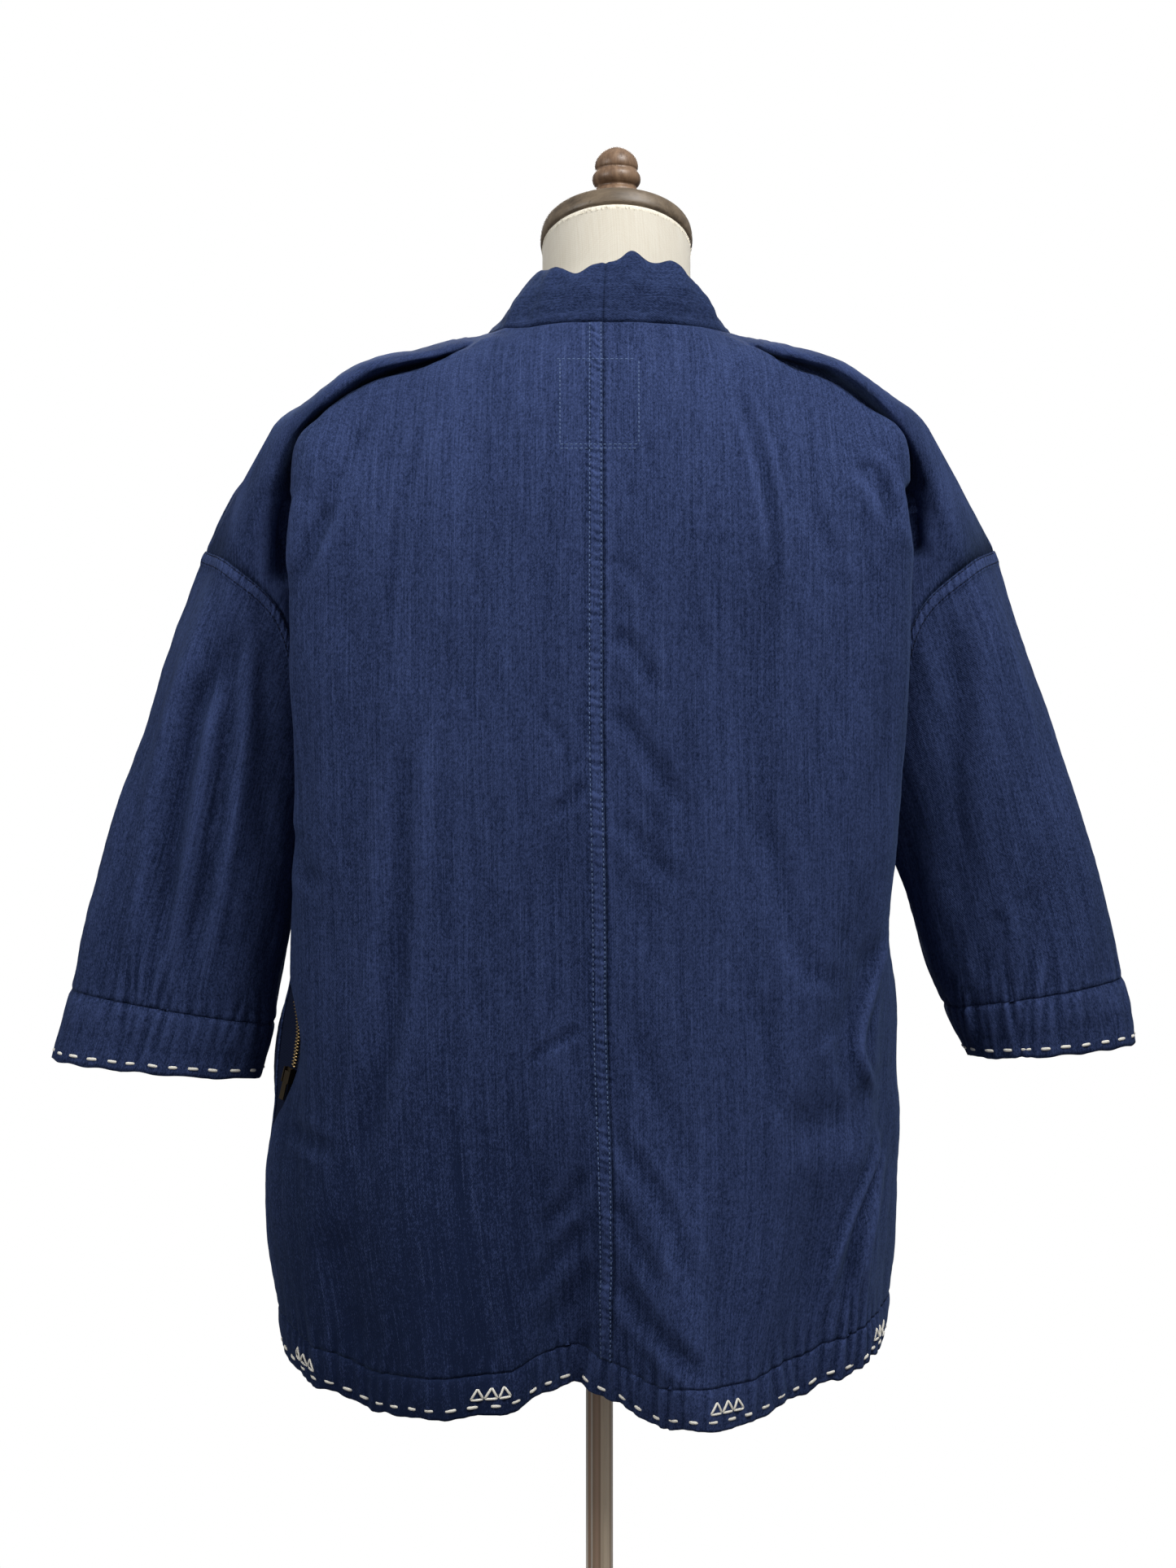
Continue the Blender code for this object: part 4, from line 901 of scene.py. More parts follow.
class Relief:
    """Adds the folds, creases, gathers, seams and rumples of the cloth to its pieces."""

    def __init__(self, pieces: dict[str, Cloth]) -> None:
        """Keeps the pieces by name."""
        self.pieces = pieces

    def creases(self) -> None:
        """Main creases, as in the picture behind and with similar ones in front."""
        for name, piece in self.pieces.items():
            body = name.startswith(("back", "front", "hem_band"))
            sleeve = name.startswith(("sleeve", "cuff"))
            spots = piece.grid[..., (0, 2)]
            y = piece.grid[..., 1]
            if body:
                facing = ease((y - .004) / .034)
                for crease in BODY_CREASES:
                    piece.lift += crease.lift(spots, BACK_Y) * facing
                swell = ease((-.165 - spots[..., 0]) / .04) * bell(spots[..., 1] - .905, .045)
                piece.lift += .0075 * swell * bell(y - .010, .055)
                facing = ease((-.045 - y) / .04)
                turned = np.stack((.045 - spots[..., 0], spots[..., 1] + .012), -1)
                for crease in FRONT_CREASES:
                    piece.lift += .75 * crease.lift(turned, BACK_Y) * facing
            if sleeve:
                side = Side.LEFT if name.endswith("left") else Side.RIGHT
                behind = ease((y + .006) / .024)
                for crease in SLEEVE_CREASES[side]:
                    piece.lift += crease.lift(spots, SLEEVE_Y) * behind
                other = Side.RIGHT if side is Side.LEFT else Side.LEFT
                for crease in SLEEVE_CREASES[other]:
                    piece.lift += .8 * crease.lift(spots * (-1, 1), SLEEVE_Y) * (1 - behind)

    def rumple(self) -> None:
        """Slight unevenness everywhere."""
        for piece in self.pieces.values():
            grid = piece.grid
            stretch = grid * (1, 1, .45)
            piece.lift += .0007 * bumpy(stretch, .060, 3) + .00022 * bumpy(stretch, .022, 5)
            piece.lift += .00009 * bumpy(grid * (1, 1, .7), .0085, 7)

    @staticmethod
    def groove(piece: Cloth, distance: Array, kind: Groove) -> None:
        """Sinks the cloth beside a seam."""
        depth, width = kind.value
        piece.lift -= depth * bell(distance, width)

    def felled_strip(self, piece: Cloth, distance: Array, along: Array, wide: float, seed: int) -> None:
        """Raises the folded strip of a flat-felled seam, with puckers between its rows of stitches."""
        inside = ease((distance + .0002) / .0012) * ease((wide + .0012 - distance) / .0016)
        piece.lift += .0009 * inside
        dice = np.random.default_rng(seed)
        total = np.zeros(piece.lift.shape)
        place = .004
        end = float(along.max())
        while place < end:
            slope = dice.uniform(-.35, .35)
            depth = dice.uniform(.15, .55) * .001
            line = place + slope * distance
            total -= depth * bell(along - line, .0011)
            place += dice.uniform(.0042, .0085)
        reach = np.exp(-np.maximum(distance - wide, 0) / .0035) * np.exp(-np.maximum(-distance, 0) / .003)
        piece.lift += total * reach
        for row in (FIRST_ROW, wide - LAST_ROW):
            piece.lift -= .00045 * bell(distance - row, .0008)

    def seams(self) -> None:
        """Seam strips and grooves."""
        for side in Side:
            back = self.pieces["back_" + side.value]
            out = back.grain[..., 0]
            back.seam[..., 0] = out if side is Side.LEFT else -out
            back.seam[..., 1] = back.grain[..., 1]
            if side is Side.LEFT:
                self.felled_strip(back, out, back.grain[..., 1], BACK_FELL, 21)
            else:
                self.groove(back, out, Groove.CENTRE_BACK)
                back.lift += .0005 * bell(out - .004, .002)
            top = back.grain[-1:, :, 1] - back.grain[..., 1]
            self.groove(back, top, Groove.SHOULDER)
            front = self.pieces["front_" + side.value]
            self.groove(front, front.grain[..., 0], Groove.SIDE)
            sleeve = self.pieces["sleeve_" + side.value]
            down = sleeve.grain[:, :-1, 1]
            self.felled_strip(sleeve, down, sleeve.grain[:, :-1, 0], SLEEVE_FELL, 33)
            sleeve.seam = sleeve.grain[..., ::-1].copy()
            for panel in (back, front):
                rows = self.armhole_distance(panel)
                self.groove(panel, rows, Groove.ARMHOLE)
                panel.seam[..., 0] = np.where(rows < .03, -rows, panel.seam[..., 0])
            collar = self.pieces["collar_" + side.value]
            rise = collar.grain[..., 1]
            self.groove(collar, rise, Groove.COLLAR)
            collar.lift += .0004 * bell(rise - .0045, .0018)
            free = rise[-1:] - rise
            collar.lift -= .0011 * bell(free, .0016)
            collar.lift -= .0015 * bell(collar.grain[..., 0], .0016)

    def armhole_distance(self, panel: Cloth) -> Array:
        """Distance of each point of a panel from its armhole edge, far away below the underarm."""
        across = panel.grain[:, -1:, 0] - panel.grain[..., 0]
        rows = np.arange(panel.grid.shape[0])[:, None]
        underarm = BACK["underarm"][-1][2]
        start = int(np.argmin(np.abs(panel.grid[:, -1, 2] - underarm)))
        return np.where(rows >= start, across, .05)

    def gathered_bands(self) -> None:
        """Gathers of the hem band and the cuffs, which run a little way into the panels above them."""
        for side in Side:
            band = self.pieces["hem_band_" + side.value]
            back = self.pieces["back_" + side.value]
            front = self.pieces["front_" + side.value]
            seam = run_length(band.grid[-1])
            length = float(seam[-1])
            plan = HEM_GATHERS[side]
            height = band.grain[-1:, :, 1] - band.grain[..., 1]
            wave = (plan.waves(seam[None], height, length)
                    + FINE_HEM_GATHERS.waves(seam[None], height, length))
            band.lift += wave
            low = ease(1 - band.grain[..., 1] / .010)
            ripple = np.sin(seam / .0052 + 2 * np.sin(seam / .031))
            band.slide[..., 2] += -.38 * wave * low + .0006 * low * ripple
            band.lift += .0010 * np.sin(math.pi * np.clip(height / .024, 0, 1)) ** .7
            count = back.grid.shape[1]
            for panel, line in ((back, seam[:count]), (front, seam[count - 1:][::-1])):
                away = -(panel.grain[..., 1] - panel.grain[:1, :, 1])
                panel.lift += plan.waves(line[None], away, length) * ease((away + .10) / .03)
                self.groove(panel, away, Groove.PANEL_HEM)
            self.groove(band, height, Groove.BAND_TOP)
            self.gathered_cuff(side)

    def gathered_cuff(self, side: Side) -> None:
        """Gathers of one cuff."""
        cuff, sleeve = self.pieces["cuff_" + side.value], self.pieces["sleeve_" + side.value]
        around = run_length(np.concatenate((cuff.grid[0], cuff.grid[:1, 0])))
        length, around = float(around[-1]), around[:-1]
        behind = cuff.grid[0, :, 1] > 0
        x = cuff.grid[0, :, 0]

        def place(px: float) -> float:
            """Distance round the seam of the point behind at a pixel across the photograph."""
            spot = float(seen(((px, 0),), CUFF_Y)[0, 0])
            return float(around[np.argmin(np.abs(x - spot) + (~behind) * 9.0)])

        if side is Side.LEFT:
            crowds = ((place(175), .022, 1.7), (place(290), .02, .3), (.05, .03, .8))
            plan = Gathers(51, .0118, .0012, .0028, crowds)
        else:
            crowds = ((place(1215), .024, 1.8), (place(1280), .02, .8), (.06, .03, .8))
            plan = Gathers(53, .0120, .0013, .0030, crowds, .35)
        down = cuff.grain[:, :-1, 1]
        wave = plan.waves(around[None], down, length)
        cuff.lift += wave + FINE_CUFF_GATHERS.waves(around[None], down, length)
        low = ease(1 - (down[-1:] - down) / .010)
        cuff.slide[..., 2] += low * (-.35 * wave + .0006 * np.sin(around / .0050 + 2 * np.sin(around / .037)))
        cuff.lift += .0009 * np.sin(math.pi * np.clip(down / .025, 0, 1)) ** .7
        self.groove(cuff, down, Groove.CUFF_TOP)
        away = -(sleeve.grain[-1:, :-1, 1] - sleeve.grain[:, :-1, 1])
        sleeve.lift += plan.waves(around[None], away, length)
        self.groove(sleeve, away, Groove.SLEEVE_END)

    def collar_waves(self) -> None:
        """Soft waves and the top edge's puckers on the collar."""
        for side in Side:
            collar = self.pieces["collar_" + side.value]
            grid = collar.grid
            rise = collar.grain[..., 1] / np.maximum(collar.grain[-1:, :, 1], 1e-6)
            wave = bumpy(grid * (1, 1, .6), .030, 11) * .0007 + bumpy(grid, .012, 13) * .00018
            collar.lift += wave * np.sin(math.pi * np.clip(rise, 0, 1)) ** .6


class StitchKind(Enum):
    """Kinds of stitches on the jacket: length, gap, half width and half height in metres."""

    TOPSTITCH = (.0023, .0011, .00036, .00030)
    RUNNING = (.0079, .0076, .00115, .00085)
    BAR = (.0060, .0, .00085, .00070)


def at_length(values: Array, length: Array, place: float) -> Array:
    """Reads the values along a line at a distance from its start."""
    return np.array([np.interp(place, length, column) for column in values.T])


class Stitchery:
    """Sews rows of stitches on the finished cloth."""

    unevenness = .12
    around = 8
    profile = ((0, .30, -1.0), (.10, .82, .1), (.28, 1, .75), (.5, 1, 1), (.72, 1, .75), (.90, .82, .1),
               (1, .30, -1.0))

    def __init__(self, pieces: dict[str, Cloth]) -> None:
        """Keeps the cloth and starts empty rows."""
        self.pieces = pieces
        self.verts: list[Array] = []
        self.faces: list[list[int]] = []
        self.count = 0
        self.dice = np.random.default_rng(77)

    def strand(self, start: Array, end: Array, out: Array, half: float, high: float, sink: float) -> None:
        """One stitch from start to end: a flattened strand whose ends dive into the cloth."""
        way = end - start
        length = np.linalg.norm(way)
        if length < 1e-6:
            return
        way /= length
        side = unit(np.cross(out, way))
        verts = []
        for share, wide, up in self.profile:
            centre = start + way * (length * share) + out * (high * .55 * up - sink)
            for k in range(self.around):
                angle = math.tau * k / self.around
                verts.append(centre + side * (half * wide * math.cos(angle))
                             + out * (high * wide * math.sin(angle)))
        self.verts.append(np.array(verts))
        self.faces += tube_faces(len(self.profile), self.around, self.count)
        self.count += len(verts)

    def row(self, points: Array, normals: Array, kind: StitchKind, start: float = 0.0) -> None:
        """Sews one row along a line on the cloth.

        Args:
            points: The line on the surface.
            normals: The surface's normals there.
            kind: Kind of stitch.
            start: Distance from the line's start to the first stitch.
        """
        long, gap, half, high = kind.value
        length = run_length(points)
        loose = self.unevenness
        place = start
        while place + long < length[-1]:
            size = long * (1 + self.dice.uniform(-loose, loose))
            a, b = (at_length(points, length, at) for at in (place, place + size))
            out = at_length(normals, length, place + size / 2)
            tilt = unit(np.cross(out, b - a)) * self.dice.uniform(-loose, loose) * half
            self.strand(a + tilt, b - tilt, unit(out), half, high, high * .25)
            place += size + gap * (1 + self.dice.uniform(-loose, loose) * 1.5)

    def finish(self, name: str, material: bpy.types.Material) -> bpy.types.Object:
        """Makes one object of all the stitches sewn since the last call."""
        item = new_mesh(name, np.concatenate(self.verts), self.faces)
        item.data.materials.append(material)
        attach(item, JACKET_BODY)
        self.verts, self.faces, self.count = [], [], 0
        LOG.info("%s: %d faces", name, len(item.data.polygons))
        return item

    def across(self, name: str, distance: float) -> tuple[Array, Array]:
        """A line down a panel at a distance across the grain from its first column."""
        piece = self.pieces[name]
        rows = np.arange(piece.grid.shape[0])
        columns = np.array([np.interp(distance, piece.grain[r, :, 0], np.arange(piece.grain.shape[1]))
                            for r in rows])
        return piece.spot(rows.astype(float), columns)

    def along(self, name: str, distance: float, from_end: bool = False) -> tuple[Array, Array]:
        """A line across a piece at a distance along the grain from its first or last row."""
        piece = self.pieces[name]
        columns = np.arange(piece.grid.shape[1])
        rows = []
        for c in columns:
            run = piece.grain[:, c, 1]
            at = run[-1] - distance if from_end else distance
            rows.append(np.interp(at, run, np.arange(len(run))))
        points, normals = piece.spot(np.array(rows), columns.astype(float))
        if piece.ring:
            points, normals = (np.concatenate((v, v[:1])) for v in (points, normals))
        return points, normals

    def from_view(self, tree: BVHTree, line: Sequence[tuple[float, float]]) -> tuple[Array, Array]:
        """A line on the cloth under a line of the photograph's frame."""
        spots = np.array(line, float)
        reach = run_length(spots)
        fine = np.linspace(0, reach[-1], max(2, int(reach[-1] / 2)))
        points, normals = [], []
        eye = Vector(EYE)
        for at in fine:
            x, y = at_length(spots, reach, at)
            way = Vector(((FRAME_SIZE[0] / 2 - x) * PIXEL, -1, (FRAME_SIZE[1] / 2 - y) * PIXEL))
            hit = tree.ray_cast(eye, way.normalized())
            if hit[0] is not None:
                points.append(tuple(hit[0]))
                normals.append(tuple(hit[1] if hit[1].dot(way) < 0 else -hit[1]))
        return np.array(points), np.array(normals)


class Socket:
    """A shader value that adds Math nodes when it is used in an expression."""

    def __init__(self, tree: bpy.types.NodeTree, source: bpy.types.NodeSocket) -> None:
        """Wraps an output socket."""
        self.tree = tree
        self.source = source

    def maths(self, operation: str, *values: Any, turned: bool = False) -> "Socket":
        """Adds one Math node on this value and others."""
        node = self.tree.nodes.new("ShaderNodeMath")
        node.operation = operation
        parts = [*values, self] if turned else [self, *values]
        for slot, part in zip(node.inputs, parts):
            if isinstance(part, Socket):
                self.tree.links.new(part.source, slot)
            else:
                slot.default_value = part
        return Socket(self.tree, node.outputs[0])

    def __add__(self, other: Any) -> "Socket":
        """Sum."""
        return self.maths("ADD", other)

    __radd__ = __add__

    def __sub__(self, other: Any) -> "Socket":
        """Difference."""
        return self.maths("SUBTRACT", other)

    def __rsub__(self, other: Any) -> "Socket":
        """Difference with this value last."""
        return self.maths("SUBTRACT", other, turned=True)

    def __mul__(self, other: Any) -> "Socket":
        """Product."""
        return self.maths("MULTIPLY", other)

    __rmul__ = __mul__

    def sine(self) -> "Socket":
        """Sine."""
        return self.maths("SINE")

    def clamp(self, low: float = 0.0, high: float = 1.0) -> "Socket":
        """The value held between two limits."""
        return self.maths("MAXIMUM", low).maths("MINIMUM", high)

    def step(self, low: float, high: float) -> "Socket":
        """0 below `low`, 1 above `high` and smooth between."""
        t = ((self - low) * (1 / (high - low))).clamp()
        return t * t * (3 - 2 * t)

    def near(self, place: float, width: float) -> "Socket":
        """1 at a place, falling to 0 a width away on both sides."""
        return 1 - (self - place).maths("ABSOLUTE").step(0, width)


class Nodes:
    """A node tree, with the nodes that the finishes and the background are made of."""

    def __init__(self, tree: bpy.types.NodeTree) -> None:
        """Keeps the tree."""
        self.tree = tree

    def add(self, kind: str, settings: dict[str, Any], sockets: dict[Any, Any], output: Any = 0) -> Socket:
        """Adds a node.

        Args:
            kind: Type of the node.
            settings: Its settings. Stops are the positions and colours of a ramp.
            sockets: Values or links of its inputs, by name or number.
            output: Name or number of the output.

        Returns:
            The output.
        """
        node = self.tree.nodes.new(kind)
        for key, value in settings.items():
            if key == "stops":
                ramp = node.color_ramp
                while len(ramp.elements) < len(value):
                    ramp.elements.new(.5)
                for element, (place, colour) in zip(ramp.elements, value):
                    element.position = place
                    element.color = (*colour, 1)
            else:
                setattr(node, key, value)
        for key, value in sockets.items():
            self.join(node.inputs[key], value)
        return Socket(self.tree, node.outputs[output])

    def join(self, slot: bpy.types.NodeSocket, value: Any) -> None:
        """Links or sets one input."""
        if isinstance(value, Socket):
            self.tree.links.new(value.source, slot)
        else:
            slot.default_value = value

    def blend(self, first: Any, second: Any, share: Any) -> Socket:
        """Mixes two colours."""
        return self.add("ShaderNodeMix", {"data_type": "RGBA"},
                        {0: share, 6: self.solid(first), 7: self.solid(second)}, 2)

    @staticmethod
    def solid(colour: Any) -> Any:
        """A colour with its alpha, or a link as it is."""
        return colour if isinstance(colour, Socket) else (*colour, 1)

    def noise(self, spot: Any, detail: float = 2.0, rough: float = .5) -> Socket:
        """Noise of about 0.5 at a place."""
        return self.add("ShaderNodeTexNoise", {}, {"Vector": spot, "Scale": 1.0, "Detail": detail,
                                                    "Roughness": rough})

    def spot(self, x: Any, y: Any, z: Any = 0.0) -> Socket:
        """A place from three values."""
        return self.add("ShaderNodeCombineXYZ", {}, {"X": x, "Y": y, "Z": z})

    def split(self, place: Socket) -> list[Socket]:
        """The three values of a place."""
        node = self.add("ShaderNodeSeparateXYZ", {}, {0: place}).source.node
        return [Socket(self.tree, part) for part in node.outputs]

    def grain(self, layer: str = "grain") -> list[Socket]:
        """Distances across and along the cloth, in metres."""
        return self.split(self.add("ShaderNodeUVMap", {"uv_map": layer}, {}))[:2]

    def place(self) -> list[Socket]:
        """The place on the object, in metres."""
        return self.split(self.add("ShaderNodeTexCoord", {}, {}, "Object"))

    def worn(self) -> Socket:
        """How far a point stands above its surroundings, in millimetres, painted on the cloth partly as wear
        and partly as painted light and shade.
        """
        return self.add("ShaderNodeAttribute", {"attribute_name": "worn"}, {}, "Fac")


class Finish(Nodes):
    """One material and its node tree, with the shader that the finish is linked to."""

    def __init__(self, name: str) -> None:
        """Makes the material."""
        self.material = bpy.data.materials.new(name)
        self.material.use_nodes = True
        super().__init__(self.material.node_tree)
        self.shader = self.tree.nodes["Principled BSDF"]

    def set(self, **values: Any) -> None:
        """Sets or links inputs of the shader, with underscores for the spaces in their names."""
        for key, value in values.items():
            self.join(self.shader.inputs[key.replace("_", " ")], value)

    def bump(self, height: Socket, distance: float, strength: float) -> None:
        """Raises the surface by a height."""
        self.set(Normal=self.add("ShaderNodeBump", {}, {"Height": height, "Distance": distance,
                                                         "Strength": strength}))


@dataclass(frozen=True)
class IndigoCotton:
    """Indigo cotton twill with uneven lighter and darker lines along the warp."""

    name: str = "indigo_cotton"
    dark: Point = (.0071, .0134, .0415)
    light: Point = (.0470, .0703, .1790)
    fleck: Point = (.094, .130, .262)
    streak: float = 1.0
    grain_turned: bool = False
    twill_pitch: float = .00125
    stitch_pitch: float = .0027
    pucker_pitch: float = .0063

    def make(self) -> bpy.types.Material:
        """Builds the material."""
        f = Finish(self.name)
        u, v = f.grain()
        if self.grain_turned:
            u, v = v, u
        broad = f.noise(f.spot(u * 120, v * 3.0, 1.3), detail=2, rough=.5)
        line = f.noise(f.spot(u * 620, v * 9.0, 5.1), detail=3, rough=.65)
        fine = f.noise(f.spot(u * 1500, v * 22.0, 9.7), detail=2, rough=.6)
        cloud = f.noise(f.spot(u * 16, v * 11, 3.0), detail=3, rough=.55)
        rough = f.noise(f.spot(u * 1900, v * 1900, 2.0), detail=1, rough=.5)
        yarn = f.noise(f.spot(u * 980, v * 560, 4.4), detail=2, rough=.75)
        twill = ((u * .82 + v * .58) * (math.tau / self.twill_pitch) + rough * 4).sine() * .5 + .5
        shade = ((broad - .5) * .30 + (line - .5) * .72 + (fine - .5) * .70) * self.streak + .405
        shade = shade + (cloud - .5) * .24 + (twill - .5) * .10 + (rough - .5) * .26 + (yarn - .5) * 2.1
        x, _, z = f.place()
        # Painted shade darkens the lower left of the back and a painted highlight lightens its lower right.
        low = (1 - z.step(.66, .98)) * x.step(-.01, .10) * (1 - x.step(.222, .240))
        lit = x.step(-.235, -.205) * (1 - x.step(-.10, .0)) * (1 - z.step(1.0, 1.22))
        # The worn height paints ridges lighter and creases darker, partly wear and partly painted light and
        # shade; painted shade also darkens the cloth towards the hem.
        shade = shade + (f.worn() * .30).clamp(-.16, .26) + (z.step(.72, 1.28) - .8) * .10
        shade = shade - low * .39 + lit * .10
        strip, height = self.felled(f)
        base = f.blend(self.dark, self.light, (shade + strip).clamp())
        spots = (line.step(.58, .68) * .8 + fine.step(.62, .74) * .5) * twill.step(.45, .9)
        base = f.blend(base, self.fleck, (spots * rough.step(.42, .62) * .60 * self.streak).clamp())
        f.set(Base_Color=base, Roughness=(rough - .5) * .2 + .86)
        f.set(Sheen_Weight=.08, Sheen_Roughness=.5, Sheen_Tint=(.35, .55, 1.0, 1), Specular_IOR_Level=.06)
        height = height + twill * .40 + (line - .5) * 1.0 + (fine - .5) * .9 + rough * .35 + yarn * .9
        f.bump(height, .00022, .75)
        return f.material

    def felled(self, f: Finish) -> tuple[Socket, Socket]:
        """Shade and height of a felled seam: the strip, its painted shadow, its two sunken rows and its
        puckers, painted lighter and darker, partly as wear and partly as painted light and shade.
        """
        across, run = f.grain("seam")
        inside = across.step(-.0003, .0005) * (1 - across.step(.0098, .0110))
        dots = (run * (math.tau / self.stitch_pitch)).sine() * .5 + .5
        rows = (across.near(FIRST_ROW, .0010) + across.near(.0088, .0010)) * (dots * .7 + .55)
        sway = f.noise(f.spot(across * 160, run * 85, 7.0), detail=1)
        pucker = ((run + (sway - .5) * .0060) * (math.tau / self.pucker_pitch)).sine()
        reach = across.step(-.0040, .0015) * (1 - across.step(.0085, .0140)) * sway.step(.30, .62)
        # The band beside the strip's edge is a painted shadow; the puckers' light and dark are partly wear
        # and partly painted light and shade.
        shade = inside * .10 + pucker * reach * .25 - rows * .42 - across.near(-.0010, .0018) * .26
        return shade, inside * 2.4 + pucker * reach * 1.4 - rows * 1.2


@dataclass(frozen=True)
class CottonThread:
    """Thick or thin cotton thread."""

    name: str
    colour: Point
    shade: Point
    sheen: float = .2
    twist_pitch: float = .0011

    def make(self) -> bpy.types.Material:
        """Builds the material."""
        f = Finish(self.name)
        x, y, z = f.place()
        soft = f.noise(f.spot(x * 900, y * 900, z * 900), detail=2)
        twist = ((x * .7 + y * .3 + z) * (math.tau / self.twist_pitch) + soft * 3).sine() * .5 + .5
        f.set(Base_Color=f.blend(self.shade, self.colour, (twist * .5 + soft * .6).clamp()), Roughness=.8,
              Sheen_Weight=self.sheen, Specular_IOR_Level=self.sheen + .05)
        f.bump(twist + soft * .6, .00012, .8)
        return f.material


@dataclass(frozen=True)
class Linen:
    """Natural linen, a plain weave with slubs that run down the form."""

    name: str = "cream_linen"
    light: Point = (.800, .757, .652)
    dark: Point = (.640, .560, .430)
    warp_pitch: float = .0009
    weft_pitch: float = .0010

    def make(self) -> bpy.types.Material:
        """Builds the material."""
        f = Finish(self.name)
        u, v = f.grain()
        down = f.noise(f.spot(u * 1100, v * 26, 1.0), detail=3, rough=.6)
        over = f.noise(f.spot(u * 22, v * 1000, 4.0), detail=3, rough=.6)
        cloud = f.noise(f.spot(u * 30, v * 30, 8.0), detail=3, rough=.5)
        warp_lines = (u * (math.tau / self.warp_pitch)).sine()
        weft_lines = (v * (math.tau / self.weft_pitch)).sine()
        weave = warp_lines * weft_lines * .25 + .5
        shade = (down - .5) * 1.05 + (over - .5) * .5 + (cloud - .5) * .35 + (weave - .5) * .35 + .74
        slub = down.step(.66, .78) * .5
        base = f.blend(self.dark, self.light, (shade - slub * .4).clamp())
        f.set(Base_Color=base, Roughness=.9, Sheen_Weight=.08, Specular_IOR_Level=.2)
        f.bump(weave * .6 + down * .9 + over * .6, .00025, .7)
        return f.material


@dataclass(frozen=True)
class Timber:
    """Turned or sawn wood with open grain, worn lighter in patches."""

    name: str
    dark: Point
    middle: Point
    light: Point
    along: int
    rough: float = .42

    def make(self) -> bpy.types.Material:
        """Builds the material."""
        f = Finish(self.name)
        parts = list(f.place())
        rates = [110.0, 110.0, 110.0]
        rates[self.along] = 9.0
        bend = f.noise(f.spot(*(p * 30 for p in parts)), detail=2)
        x, y, z = (p * rate for p, rate in zip(parts, rates))
        wide = f.noise(f.spot(x + bend * 1.6, y + bend * 1.2, z), detail=4, rough=.65)
        pores = f.noise(f.spot(x * 7, y * 7, z * 4.2), detail=3, rough=.7)
        worn = f.noise(f.spot(*(p * 60 for p in parts)), detail=4, rough=.6)
        stops = ((.30, self.dark), (.50, self.middle), (.72, self.light))
        base = f.add("ShaderNodeValToRGB", {"stops": stops},
                     {"Fac": (wide * .8 + worn * .25 + (pores - .5) * .3).clamp()})
        dark_pores = pores.step(.58, .70) * .65
        base = f.blend(base, self.dark, dark_pores)
        base = f.blend(base, tuple(min(1, c * 1.5) for c in self.light), worn.step(.60, .78) * .30)
        f.set(Base_Color=base, Roughness=(worn - .5) * .35 + self.rough, Coat_Weight=.06)
        f.set(Coat_Roughness=.35, Specular_IOR_Level=.4)
        f.bump(wide * .4 - dark_pores * .9 + worn * .2, .00025, .7)
        return f.material


@dataclass(frozen=True)
class Metal:
    """Bronzed steel or brass with fine draw lines and dull patches."""

    name: str
    colour: Point
    stain: Point
    rough: float
    lines: float = 700.0

    def make(self) -> bpy.types.Material:
        """Builds the material."""
        f = Finish(self.name)
        x, y, z = f.place()
        draw = f.noise(f.spot(x * self.lines, y * self.lines, z * 14), detail=2)
        patch = f.noise(f.spot(x * 50, y * 50, z * 22), detail=4, rough=.6)
        base = f.blend(self.colour, self.stain, (patch.step(.45, .8) * .5 + (draw - .5) * .5).clamp())
        f.set(Base_Color=base, Metallic=1.0, Roughness=(patch - .5) * .25 + (draw - .5) * .12 + self.rough)
        f.bump(draw, .00003, .5)
        return f.material


@dataclass(frozen=True)
class BandedMetal:
    """Bronzed steel of the pole: bands that run up each face, pale painted reflections on its ribs and edges
    and darker brown in its channels.
    """

    name: str = "banded_bronze"

    def make(self) -> bpy.types.Material:
        """Builds the material."""
        f = Finish(self.name)
        x, y, z = f.place()
        turned = x.maths("ABSOLUTE").step(.0082, .0086)
        place = .5 - (x * (1 - turned) + y * turned) * 50
        # The pale stops at the edges of each face and on its rib are painted reflections of bright
        # surroundings.
        pale, brown, umber, taupe = (1.0, .90, .76), (.50, .32, .20), (.70, .48, .33), (1.0, .82, .60)
        stops = ((.0, pale), (.05, pale), (.08, brown), (.18, umber), (.20, pale), (.24, pale),
                 (.26, brown), (.42, umber), (.52, brown), (.56, taupe), (.86, taupe), (.89, brown),
                 (.92, pale), (1.0, pale))
        bands = f.add("ShaderNodeValToRGB", {"stops": stops}, {"Fac": place.clamp()})
        draw = f.noise(f.spot(x * 1100, y * 1100, z * 9), detail=3)
        base = f.blend(bands, (.55, .40, .28), (draw.step(.50, .85) * .22).clamp())
        f.set(Base_Color=base, Metallic=.1, Roughness=(draw - .5) * .2 + .40, Specular_IOR_Level=.95)
        return f.material


@dataclass(frozen=True)
class TapeWeave:
    """Herringbone zip tape."""

    name: str = "tape_weave"
    dark: Point = (.003, .006, .018)
    light: Point = (.012, .018, .046)
    rib_pitch: float = .0011

    def make(self) -> bpy.types.Material:
        """Builds the material."""
        f = Finish(self.name)
        x, y, z = f.place()
        ribs = ((z + (x - y) * .3) * (math.tau / self.rib_pitch)).sine() * .5 + .5
        soft = f.noise(f.spot(x * 1200, y * 1200, z * 1200), detail=2)
        f.set(Base_Color=f.blend(self.dark, self.light, (ribs * .6 + soft * .5).clamp()), Roughness=.85,
              Specular_IOR_Level=.1)
        f.bump(ribs + soft * .5, .00015, .7)
        return f.material


@dataclass
class Walls:
    """Thickness of the cloth walls in metres."""

    cloth: float = .0015
    band: float = .0020
    collar: float = .0022


